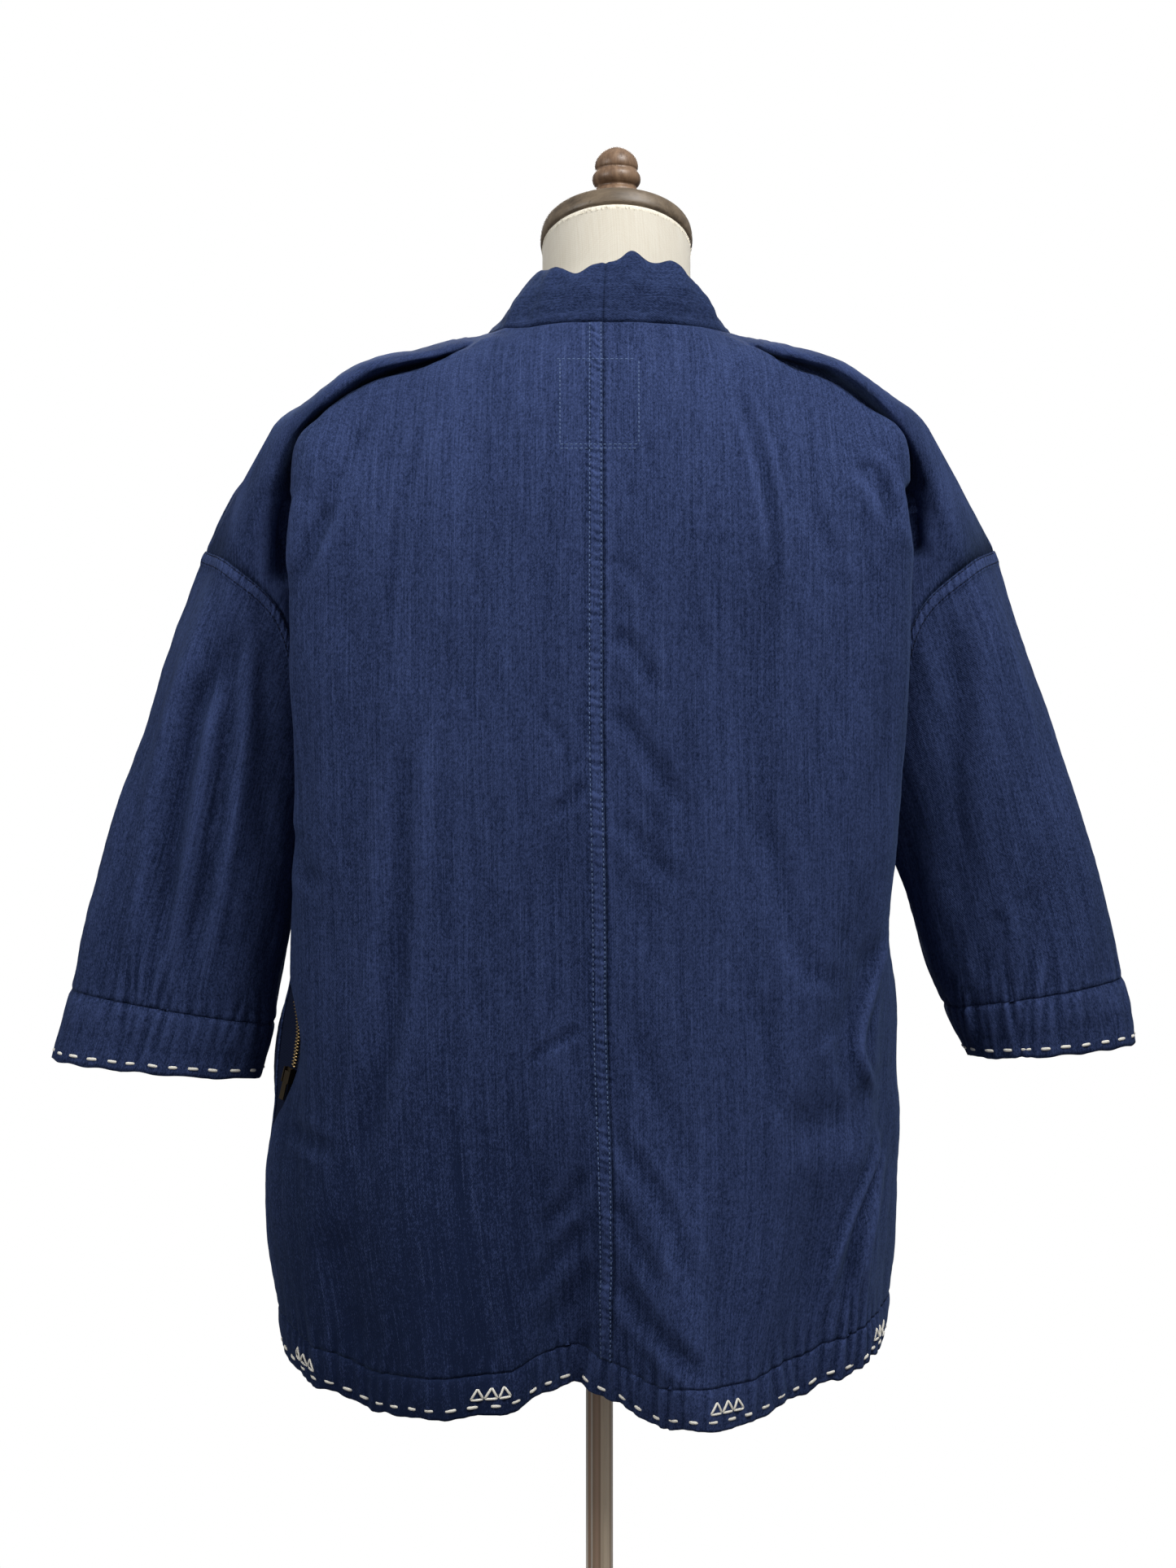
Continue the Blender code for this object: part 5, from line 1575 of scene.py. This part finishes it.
@dataclass
class Jacket:
    """The jacket: twelve cut pieces, with their relief and cloth."""

    fine: Fineness = field(default_factory=Fineness)
    walls: Walls = field(default_factory=Walls)

    def cut(self) -> dict[str, Cloth]:
        """Cuts the pieces, with shared points along every seam."""
        cut = JacketCut(self.fine)
        walls = self.walls
        pieces: list[Cloth] = []
        for side in Side:
            back = cut.back_surface(side, cut.back_rows, cut.back_columns)
            front = cut.front_surface(side, cut.front_rows, cut.front_columns)
            low_back = cut.back_surface(side, cut.band_rows, cut.back_columns)
            low_front = cut.front_surface(side, cut.band_rows, cut.front_columns)
            band = np.concatenate((low_back, low_front[:, -2::-1]), 1)
            seam = np.concatenate((back[-1], front[::-1, 0][1:], low_front[-2::-1, 0]))
            if side is Side.LEFT:
                back = open_mouth(back, -1, (-.0125, .009, 0))
                front = open_mouth(front, -1, (.005, -.009, 0))
            sleeve, cuff = cut.sleeve_grids(side)
            pieces += [
                Cloth("back_" + side.value, back, walls.cloth),
                Cloth("front_" + side.value, front, walls.cloth),
                Cloth("hem_band_" + side.value, band, walls.band, stride=2, material=BAND),
                Cloth("sleeve_" + side.value, sleeve, walls.cloth, ring=True),
                Cloth("cuff_" + side.value, cuff, walls.band, ring=True, stride=2, material=BAND),
                Cloth("collar_" + side.value, cut.collar_grid(side, seam), walls.collar, stride=2,
                      material=BAND),
            ]
        share_normals(pieces)
        self.lay_warps(pieces)
        return {piece.name: piece for piece in pieces}

    @staticmethod
    def lay_warps(pieces: Sequence[Cloth]) -> None:
        """Lays the warp of each piece straight down it, on another stretch of cloth each."""
        starts = {"back": 0.0, "front": .6, "sleeve": 1.5, "hem": 2.3, "cuff": 3.1, "collar": 4.0}
        for piece in pieces:
            sign = 1 if piece.name.endswith("left") else -1
            start = starts[piece.name.split("_")[0]]
            way, column = np.array([0, 0, 1.0]), 0
            if piece.ring:
                column = int(np.argmax(sign * piece.grid[-1, :, 0]))
                way = unit(piece.grid[0, column] - piece.grid[-1, column])
            if not piece.name.startswith("collar"):
                piece.lay_warp(way, column, start, sign)

    def build(self) -> dict[str, Cloth]:
        """Builds and dresses the cloth and returns the pieces."""
        pieces = self.cut()
        relief = Relief(pieces)
        relief.creases()
        relief.rumple()
        relief.seams()
        relief.gathered_bands()
        relief.collar_waves()
        plain = IndigoCotton().make()
        bands = IndigoCotton(name="indigo_cotton_bands", streak=.72).make()
        collar = IndigoCotton("indigo_cotton_collar", (.0054, .0106, .0335), (.0350, .0555, .1430),
                              streak=.80, grain_turned=True).make()
        for name, piece in pieces.items():
            piece.settle()
            item = piece.mesh()
            finish = plain
            if name.startswith("collar"):
                finish = collar
            elif piece.material == BAND:
                finish = bands
            dress(item, finish, name)
        return pieces


def cloth_tree(pieces: dict[str, Cloth]) -> BVHTree:
    """One search tree of the outer faces of all the cloth."""
    verts: list[Array] = []
    faces: list[Array] = []
    start = 0
    for piece in pieces.values():
        rows, columns = piece.grid.shape[:2]
        verts.append(piece.grid.reshape(-1, 3))
        faces.append(quads(rows, columns, piece.ring) + start)
        start += rows * columns
    return BVHTree.FromPolygons(np.concatenate(verts).tolist(), np.concatenate(faces).tolist())


@dataclass
class Sewing:
    """All the stitching: double rows on the felled seams, the box, the running stitch and the triangles."""

    edge_row: float = .0062
    group_pitch: float = .160
    triangle_foot: float = .0052
    triangle_top: float = .0128
    triangle_pitch: float = .0098
    triangle_half: float = .0046

    def build(self, pieces: dict[str, Cloth]) -> None:
        """Sews everything."""
        pale = CottonThread("pale_thread", (.125, .185, .335), (.060, .095, .190), .08).make()
        navy = CottonThread("navy_thread", (.009, .013, .034), (.003, .005, .015), .03).make()
        white = CottonThread("white_thread", (.90, .88, .80), (.68, .64, .55)).make()
        tree = cloth_tree(pieces)
        work = Stitchery(pieces)
        for distance in (FIRST_ROW, BACK_FELL - LAST_ROW):
            work.row(*work.across("back_left", distance), StitchKind.TOPSTITCH)
        for line in (((684, 441), (779, 441)), ((688, 442), (688, 546)), ((785, 444), (785, 546)),
                     ((688, 546), (785, 546)), ((688, 551), (785, 551))):
            work.row(*work.from_view(tree, line), StitchKind.TOPSTITCH)
        work.finish("topstitching", pale)
        for side in Side:
            for distance in (FIRST_ROW, SLEEVE_FELL - LAST_ROW):
                work.row(*work.along("sleeve_" + side.value, distance), StitchKind.TOPSTITCH)
        work.finish("armhole_stitching", navy)
        self.running(work)
        self.triangles(work)
        work.finish("running_stitch", white)

    def running(self, work: Stitchery) -> None:
        """White running stitch above the edge of the hem band and the cuffs."""
        for side in Side:
            work.row(*work.along("hem_band_" + side.value, self.edge_row), StitchKind.RUNNING, .005)
            work.row(*work.along("cuff_" + side.value, self.edge_row, True), StitchKind.RUNNING, .004)

    def triangles(self, work: Stitchery) -> None:
        """Groups of three small stitched triangles, spaced evenly round the hem above the running stitch."""
        for side, first in ((Side.LEFT, .1045), (Side.RIGHT, .0975)):
            points, normals = work.along("hem_band_" + side.value, self.edge_row + self.triangle_foot)
            top, _ = work.along("hem_band_" + side.value, self.edge_row + self.triangle_top)
            length = run_length(points)
            place = first
            while place < length[-1] - .03:
                self.group(work, points, normals, top, length, place)
                place += self.group_pitch

    def group(self, work: Stitchery, points: Array, normals: Array, top: Array, length: Array,
              place: float) -> None:
        """Three triangles side by side, each of three straight stitches."""
        _, _, half, high = StitchKind.BAR.value
        for k in (-1, 0, 1):
            middle = place + k * self.triangle_pitch
            left, right = (at_length(points, length, middle + s * self.triangle_half) for s in (-1, 1))
            peak = at_length(top, length, middle + work.dice.uniform(-.0008, .0008))
            out = unit(at_length(normals, length, middle))
            for a, b in ((left, right), (left, peak), (right, peak)):
                work.strand(a, b, out, half, high, -high * .1)


# Sections of the dress form: height, half width, depth in front, depth behind.
FORM: dict[str, tuple[float, float, float, float]] = {
    "foot": (.8000, .140, .098, .098), "hip": (.865, .166, .110, .112),
    "high_hip": (.940, .150, .102, .106), "waist": (1.030, .122, .096, .088),
    "ribs": (1.110, .138, .108, .096), "bust": (1.185, .154, .116, .104),
    "chest": (1.255, .164, .106, .104), "armhole": (1.305, .172, .088, .096),
    "cap": (1.340, .176, .072, .080), "tip": (1.362, .168, .058, .062),
    "shoulder": (1.379, .142, .042, .042), "slope": (1.390, .105, .036, .042),
    "neck_root": (1.3985, .070, .043, .047), "neck_low": (1.420, .0575, .0510, .0520),
    "neck": (1.440, .0545, .0510, .0510),
}

# Profile of the finial under its top: radius and height of each ring.
FINIAL = ((.0001, 1.5390), (.0030, 1.5388), (.0060, 1.5379), (.0108, 1.5350), (.0141, 1.5313),
          (.0156, 1.5278), (.0160, 1.5252), (.0158, 1.5234), (.0153, 1.5223), (.0155, 1.5213),
          (.0161, 1.5203), (.0173, 1.5184), (.0179, 1.5159), (.0176, 1.5133), (.0163, 1.5110),
          (.0151, 1.5097), (.0150, 1.5087), (.0158, 1.5076), (.0168, 1.5062), (.0172, 1.5030),
          (.0172, 1.4955), (.0172, 1.4890))
FINIAL_FOOT = .0185

# Profile of the base from its middle on top to its middle below: radius and height of each ring.
BASE = ((.0001, .0450), (.0180, .0450), (.0200, .0446), (.0208, .0435), (.0212, .0400), (.0220, .0300),
        (.0240, .0262), (.0285, .0236), (.0360, .0212), (.0600, .0172), (.1000, .0152), (.1500, .0132),
        (.1740, .0118), (.1800, .0112), (.1830, .0102), (.1846, .0085), (.1850, .0060), (.1850, .0020),
        (.1843, .0004), (.1830, .0), (.0001, .0))

# One face of the pole: distance from the axis, below zero as it is laid out, and the share across the face.
POLE_FACE = ((-.0099, -.92), (-.0099, -.80), (-.0094, -.68), (-.0086, -.62), (-.0088, -.52), (-.0092, -.30),
             (-.0093, .05), (-.0090, .24), (-.0085, .30), (-.0085, .36), (-.0094, .44), (-.0099, .60),
             (-.0099, .80), (-.0099, .92))


def spun(profile: Any, around: int, x: float = 0.0) -> Array:
    """Rings of points round an upright axis at `x`, one for each radius and height of a profile."""
    angles = np.linspace(0, math.tau, around, endpoint=False)
    return np.array([np.stack((x + radius * np.cos(angles), radius * np.sin(angles),
                               np.full(around, height)), -1) for radius, height in profile])


def ring_mesh(name: str, rings: Array, grain: bool = False) -> bpy.types.Object:
    """Closed loft through rings of points, from the first ring to the last, capped at both ends.

    Args:
        name: Name of the object.
        rings: Rings by points, wound so that the faces look outward.
        grain: Whether distances round and along the loft are written to a UV map.

    Returns:
        The object.
    """
    levels, around = rings.shape[:2]
    item = new_mesh(name, rings.reshape(-1, 3), tube_faces(levels, around))
    if grain:
        closed = np.concatenate((rings, rings[:, :1]), 1)
        across = run_length(np.swapaxes(closed, 0, 1)).T
        along = run_length(closed)
        layer = item.data.uv_layers.new(name="grain")
        places = []
        for level in range(levels - 1):
            for k in range(around):
                for r, c in ((level, k), (level, k + 1), (level + 1, k + 1), (level + 1, k)):
                    places += [across[r, c], along[r, c]]
        places += [0.0] * (2 * len(item.data.loops) - len(places))
        layer.data.foreach_set("uv", places)
    return item


@dataclass
class DressForm:
    """The limbless linen torso, its wooden cap and its turned finial."""

    neck_x: float = -.0125
    neck_half: float = .0545
    neck_depth: float = .0510
    neck_joint: float = 1.4645
    tilt: float = .385
    cap_height: float = .0150
    around: int = 96
    fray_threads: int = 420

    def lean(self, height: float) -> float:
        """The form's axis moves from the pole to the neck's centre."""
        return self.neck_x * float(ease((height - 1.20) / .20))

    def torso(self) -> bpy.types.Object:
        """The torso, clear of the cloth that lies on it."""
        table = np.array(list(FORM.values()))
        rows = thread(table, np.linspace(0, len(table) - 1, 90))
        angles = np.linspace(0, math.tau, self.around, endpoint=False)
        cosine, sine = np.cos(angles), np.sin(angles)
        rings = []
        for height, half, front, behind in rows:

            # The section is squarer from the ribs to the shoulders.
            square = float(ease((height - 1.1) / .1) * ease((1.385 - height) / .05))
            power = 1 - .12 * square
            across = np.sign(cosine) * np.abs(cosine) ** power
            deep = np.sign(sine) * np.abs(sine) ** power
            depth = np.where(deep > 0, behind, front)

            # The shoulders are a little lower and narrower than the solid's.
            lower = .0050 * float(ease((height - 1.28) / .04) * ease((1.405 - height) / .012))
            inset = 1 - .020 * float(ease((height - 1.22) / .05) * ease((1.41 - height) / .02))
            rings.append(np.stack((self.lean(height) + half * across * inset, depth * deep * inset,
                                   np.full(self.around, height - lower)), -1))

        # The neck goes up to the sloping cut under the cap.
        for share in np.linspace(.15, 1, 12):
            spots = np.stack((self.neck_x + self.neck_half * cosine, self.neck_depth * sine), -1)
            top = self.neck_joint - .0004 + spots[:, 1] * self.tilt
            rings.append(np.stack((spots[:, 0], spots[:, 1], 1.440 + (top - 1.440) * share), -1))
        item = ring_mesh("form_linen", np.array(rings), True)
        dress(item, Linen().make(), "form_torso")
        return item

    def fringe(self, linen: bpy.types.Material) -> bpy.types.Object:
        """The frayed cut edge of the linen under the cap: short threads that stand off the neck."""
        dice = np.random.default_rng(9)
        verts: list[Point] = []
        faces: list[list[int]] = []
        for _ in range(self.fray_threads):
            angle = dice.uniform(0, math.tau)
            out = np.array([math.cos(angle), math.sin(angle), 0])
            side = np.array([-out[1], out[0], 0])
            base = np.array([self.neck_x + self.neck_half * out[0], self.neck_depth * out[1], 0])
            base[2] = self.neck_joint + base[1] * self.tilt - dice.uniform(.0022, .0040)
            tip = base + out * dice.uniform(.0002, .0010) + side * dice.uniform(-.0006, .0006)
            tip[2] += dice.uniform(.0014, .0021)
            wide = dice.uniform(.00010, .00022)
            start = len(verts)
            for spot, half in ((base, wide), (tip, wide * .5)):
                for a, b in ((1, 0), (0, 1), (-1, 0), (0, -1)):
                    verts.append(tuple(spot + side * (a * half) + out * (b * half)))
            faces += (quads(2, 4, ring=True) + start).tolist()
            faces.append([start + 4, start + 5, start + 6, start + 7])
        item = new_mesh("linen_fray", np.array(verts), faces)
        item.data.materials.append(linen)
        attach(item, JACKET_BODY)
        return item

    def cap(self) -> None:
        """The tilted wooden cap."""
        top = self.cap_height
        profile = ((.0001, top), (.0400, top), (.0515, top - .0001), (.0536, top - .0006),
                   (.0549, top - .0017), (.0556, top - .0034), (.0560, top - .0060), (.0562, .0050),
                   (.0559, .0024), (.0552, .0008), (.0540, .0001), (.0300, 0), (.0001, 0))
        turn = math.atan(self.tilt)
        rings = spun(profile[::-1], self.around, self.neck_x)
        y, height = rings[..., 1].copy(), rings[..., 2].copy()
        rings[..., 1] = y * math.cos(turn) - height * math.sin(turn)
        rings[..., 2] = self.neck_joint + .0003 + y * math.sin(turn) + height * math.cos(turn)
        wood = Timber("cap_timber", (.040, .028, .018), (.124, .091, .059), (.205, .155, .102), 0, .44)
        dress(ring_mesh("cap_turned", rings), wood.make(), "neck_cap")

    def finial(self) -> None:
        """The turned finial on the cap, its foot cut to the cap's slope."""
        smooth = thread(FINIAL, np.linspace(0, len(FINIAL) - 1, 110))
        turn = math.atan(self.tilt)
        plane = self.neck_joint + .0006 + self.cap_height / math.cos(turn)
        rings = spun((*smooth, (FINIAL_FOOT, 0)), self.around, self.neck_x)
        rings[-1, :, 2] = plane + rings[-1, :, 1] * self.tilt + .0001
        wood = Timber("finial_timber", (.056, .031, .019), (.160, .095, .056), (.280, .180, .110), 2, .42)
        dress(ring_mesh("finial_turned", rings[::-1]), wood.make(), "finial")


@dataclass
class Stand:
    """The fluted pole and the round weighted base."""

    half: float = .0099
    low: float = .0453
    high: float = .7997
    rings: int = 24
    around: int = 128

    def pole(self) -> None:
        """The pole: a square tube with two rounded ribs and a flat channel on each face."""
        outline = []
        for turn in range(4):
            cosine, sine = math.cos(turn * math.pi / 2), math.sin(turn * math.pi / 2)
            for x, share in POLE_FACE:
                y = -share * self.half
                outline.append((x * cosine - y * sine, x * sine + y * cosine))
        rings = np.array([[(x, y, z) for x, y in outline[::-1]]
                          for z in np.linspace(self.low, self.high, self.rings)])
        area = sum(a[0] * b[1] - a[1] * b[0] for a, b in zip(outline[::-1], outline[::-1][1:]))
        if area < 0:
            rings = rings[:, ::-1]
        dress(ring_mesh("pole_tube", rings), BandedMetal().make(), "pole")

    def base(self) -> None:
        """The round base: a low spun cover with a rolled rim and a collar for the pole."""
        painted = Metal("bronzed_base", (.26, .205, .165), (.16, .120, .090), .38, 120).make()
        dress(ring_mesh("base_plate", spun(BASE[::-1], self.around)), painted, "base")


@dataclass
class PocketZip:
    """The closed zip in the left side seam: tape, teeth, slider and pull tab.

    `chain_top` and `chain_foot` are the chain's place on the tape, as shares of the way to the front lip.
    """

    foot: float = .79
    top: float = .955
    wall_gap: float = .0003
    tape_rows: int = 90
    tape_columns: int = 19
    slider_height: float = .861
    chain_top: float = .36
    chain_foot: float = .50
    chain_end: float = .914
    sag: float = .0030
    pitch: float = .00235
    tooth: tuple[tuple[float, float], ...] = ((-.0006, .0002), (.0026, .0002), (.0026, .0017),
                                              (.0012, .0021), (-.0006, .0019))

    def __post_init__(self) -> None:
        """Starts with nothing measured."""
        self.rows: list[int] = []

    def measure(self, pieces: dict[str, Cloth]) -> None:
        """Finds the two lips that the tape is sewn to."""
        back, front = pieces["back_left"], pieces["front_left"]
        heights = back.grid[:, -1, 2]
        self.rows = [r for r in range(len(heights)) if self.foot < heights[r] < self.top]
        depth = Walls().cloth + self.wall_gap
        self.behind = back.grid[self.rows, -1] - back.flat_normals[self.rows, -1] * depth
        self.before = front.grid[self.rows, -1] - front.flat_normals[self.rows, -1] * depth
        self.inward = unit(back.flat_normals[self.rows, -1] + front.flat_normals[self.rows, -1])
        self.heights = heights[self.rows]

    def tape_point(self, row: float, w: float) -> tuple[Array, Array, Array]:
        """A point of the tape, `w` of the way to the front lip, with its ways across and out."""
        low = min(int(row), len(self.rows) - 2)
        t = row - low
        a, b, n = (v[low] * (1 - t) + v[low + 1] * t for v in (self.behind, self.before, self.inward))
        sag = self.sag * min(1.0, float(np.linalg.norm(b - a)) / .020)
        return a + (b - a) * w - n * sag * 4 * w * (1 - w), b - a, n

    def row_at(self, height: float) -> float:
        """The fractional row at a height."""
        return float(np.interp(height, self.heights, range(len(self.rows))))

    def frame_at(self, height: float, w: float) -> tuple[Array, Array, Array, Array]:
        """A place on the tape with its ways across, out and up."""
        row = self.row_at(height)
        spot, across, _ = self.tape_point(row, w)
        up = unit(self.tape_point(row + .6, w)[0] - self.tape_point(row - .6, w)[0])
        across = unit(across - up * (across @ up))
        out = np.cross(up, across)
        if out[0] < 0:
            out = -out
        return spot, across, out, up

    def build(self, pieces: dict[str, Cloth]) -> None:
        """Builds the tape and the teeth and dresses the slider and the pull tab."""
        brass = Metal("zip_brass", (.56, .40, .19), (.28, .19, .09), .36).make()
        self.measure(pieces)
        self.tape()
        self.teeth(brass)
        dull = Metal("zip_antique", (.100, .078, .050), (.045, .034, .024), .50).make()
        self.bevelled("zip_slider", JACKET_BODY, dull)
        self.bevelled("zip_pull", PULL_BODY, dull)

    def tape(self) -> None:
        """The tape between the lips, sewn behind them."""
        # The tape runs on past both lips, hidden by the cloth.
        shares = np.linspace(-.25, 1.25, self.tape_columns)
        rows = np.linspace(0, len(self.rows) - 1, self.tape_rows)
        grid = np.array([[self.tape_point(float(r), float(np.clip(w, 0, 1)))[0]
                          + (self.before[int(r)] - self.behind[int(r)]) * (w - np.clip(w, 0, 1))
                          for w in shares] for r in rows])
        grid -= self.inward[np.round(rows).astype(int)][:, None] * .0002
        piece = Cloth("zip_tape", grid, .0008, stride=2, material="tape_cloth")
        piece.settle()
        dress(piece.mesh(), TapeWeave().make(), "zip_tape")

    def teeth(self, brass: bpy.types.Material) -> None:
        """Two rows of teeth that lock on the middle line."""
        verts: list[Array] = []
        faces: list[list[int]] = []
        height = self.slider_height + .0066
        number = 0
        while height < self.chain_end:
            w = self.chain_top + (self.chain_foot - self.chain_top) * float(ease((.90 - height) / .05))
            spot, across, out, up = self.frame_at(height, w)
            sign = 1 if number % 2 else -1
            start = len(verts)
            for level, half in ((-.00042, .8), (0, 1.0), (.00042, .8)):
                for a, b in self.tooth:
                    verts.append(spot + across * (sign * a * half) + out * (b * (.6 + .4 * half))
                                 + up * level)
            faces += tube_faces(3, len(self.tooth), start)
            height += self.pitch / 2
            number += 1
        dress(new_mesh("zip_teeth", np.array(verts), faces, smooth=False), brass, "zip_chain")

    @staticmethod
    def bevelled(node: str, body: str, brass: bpy.types.Material) -> None:
        """Puts a copy of a small brass solid with rounded edges in its place."""
        source = bpy.data.objects[node]
        item = bpy.data.objects.new(node + "_cast", source.data.copy())
        bpy.context.scene.collection.objects.link(item)
        soft = item.modifiers.new("soft", "BEVEL")
        soft.width = .00022
        soft.segments = 3
        soft.limit_method = "ANGLE"
        item.data.materials.clear()
        dress(item, brass, node, body)


@dataclass(frozen=True)
class Lamp:
    """A soft square light: its place, what it points at, its width in metres and its power in watts."""

    name: str
    place: Point
    aim: Point
    width: float
    power: float


@dataclass
class Studio:
    """Camera, pale floor and soft light."""

    field_of_view: float = 39.73
    floor_half: float = 12.0
    lamps: tuple[Lamp, ...] = (
        Lamp("over", (-.75, 1.05, 2.70), (0, .1, 1.2), .8, 40),
        Lamp("side", (1.55, 1.20, 2.05), (.3, 0, 1.0), .8, 17),
        Lamp("far", (.15, -2.5, 2.4), (0, 0, 1.1), 1.4, 52),
    )

    def camera(self) -> None:
        """The photograph's view of the back."""
        data = bpy.data.cameras.new("view")
        data.sensor_fit = "VERTICAL"
        data.angle = math.radians(self.field_of_view)
        item = bpy.data.objects.new("view", data)
        item.location = EYE
        item.rotation_euler = (math.pi / 2, 0, math.pi)
        bpy.context.scene.collection.objects.link(item)
        bpy.context.scene.camera = item

    def floor(self) -> None:
        """A plain pale floor."""
        half = self.floor_half
        corners = [(x * half, y * half, -.0005) for x, y in ((-1, -1), (1, -1), (1, 1), (-1, 1))]
        item = new_mesh("floor", np.array(corners), [(0, 1, 2, 3)], smooth=False)

        # The camera sees a pale floor that fades to white further out, and the light meets a darker one.
        f = Finish("pale_floor")
        path = f.add("ShaderNodeLightPath", {}, {}, "Is Camera Ray")
        x, y, _ = f.place()
        far = (x * x + y * y).step(.10, 1.20) * path
        pale = f.blend((.16, .16, .17), (.90, .90, .90), path)
        f.set(Base_Color=f.blend(pale, (0, 0, 0), far), Roughness=.8, Specular_IOR_Level=.0)
        f.set(Emission_Color=f.blend((0, 0, 0), (1, 1, 1), far), Emission_Strength=1.0)
        item.data.materials.append(f.material)

    @staticmethod
    def light(lamp: Lamp) -> None:
        """Hangs one lamp."""
        data = bpy.data.lights.new(lamp.name, "AREA")
        data.size = lamp.width
        data.energy = lamp.power
        item = bpy.data.objects.new(lamp.name, data)
        item.location = lamp.place
        item.rotation_euler = (Vector(lamp.aim) - Vector(lamp.place)).to_track_quat("-Z", "Y").to_euler()
        bpy.context.scene.collection.objects.link(item)

    def background(self) -> None:
        """White to the camera, and a soft light that grows brighter towards the top."""
        world = bpy.data.worlds.new("soft_white")
        world.use_nodes = True
        work = Nodes(world.node_tree)
        soft = work.tree.nodes["Background"]
        bright = work.add("ShaderNodeBackground", {}, {"Color": WHITE})
        rise = work.split(work.add("ShaderNodeTexCoord", {}, {}, "Generated"))[2]
        limits = {"From Min": -.1, "From Max": .9, "To Min": .13, "To Max": .48}
        work.join(soft.inputs["Strength"], work.add("ShaderNodeMapRange", {}, {**limits, "Value": rise}))
        work.join(soft.inputs["Color"], WHITE)
        path = work.add("ShaderNodeLightPath", {}, {}, "Is Camera Ray")
        glow = Socket(work.tree, soft.outputs[0])
        mix = work.add("ShaderNodeMixShader", {}, {"Fac": path, 1: glow, 2: bright})
        work.join(work.tree.nodes["World Output"].inputs["Surface"], mix)
        bpy.context.scene.world = world
        bpy.context.scene.view_settings.view_transform = "Standard"

    def build(self) -> None:
        """Sets the floor, the background and the lamps."""
        self.floor()
        self.background()
        for lamp in self.lamps:
            self.light(lamp)


def main() -> None:
    """Builds everything in order."""
    logging.basicConfig(level=logging.INFO, format="%(message)s")
    studio = Studio()
    studio.camera()
    pieces = Jacket().build()
    Sewing().build(pieces)
    PocketZip().build(pieces)
    form = DressForm()
    torso = form.torso()
    form.fringe(torso.data.materials[0])
    form.cap()
    form.finial()
    stand = Stand()
    stand.pole()
    stand.base()
    studio.build()
    LOG.info("floor, background and %d lamps set", len(studio.lamps))


if __name__ == "__main__":
    main()
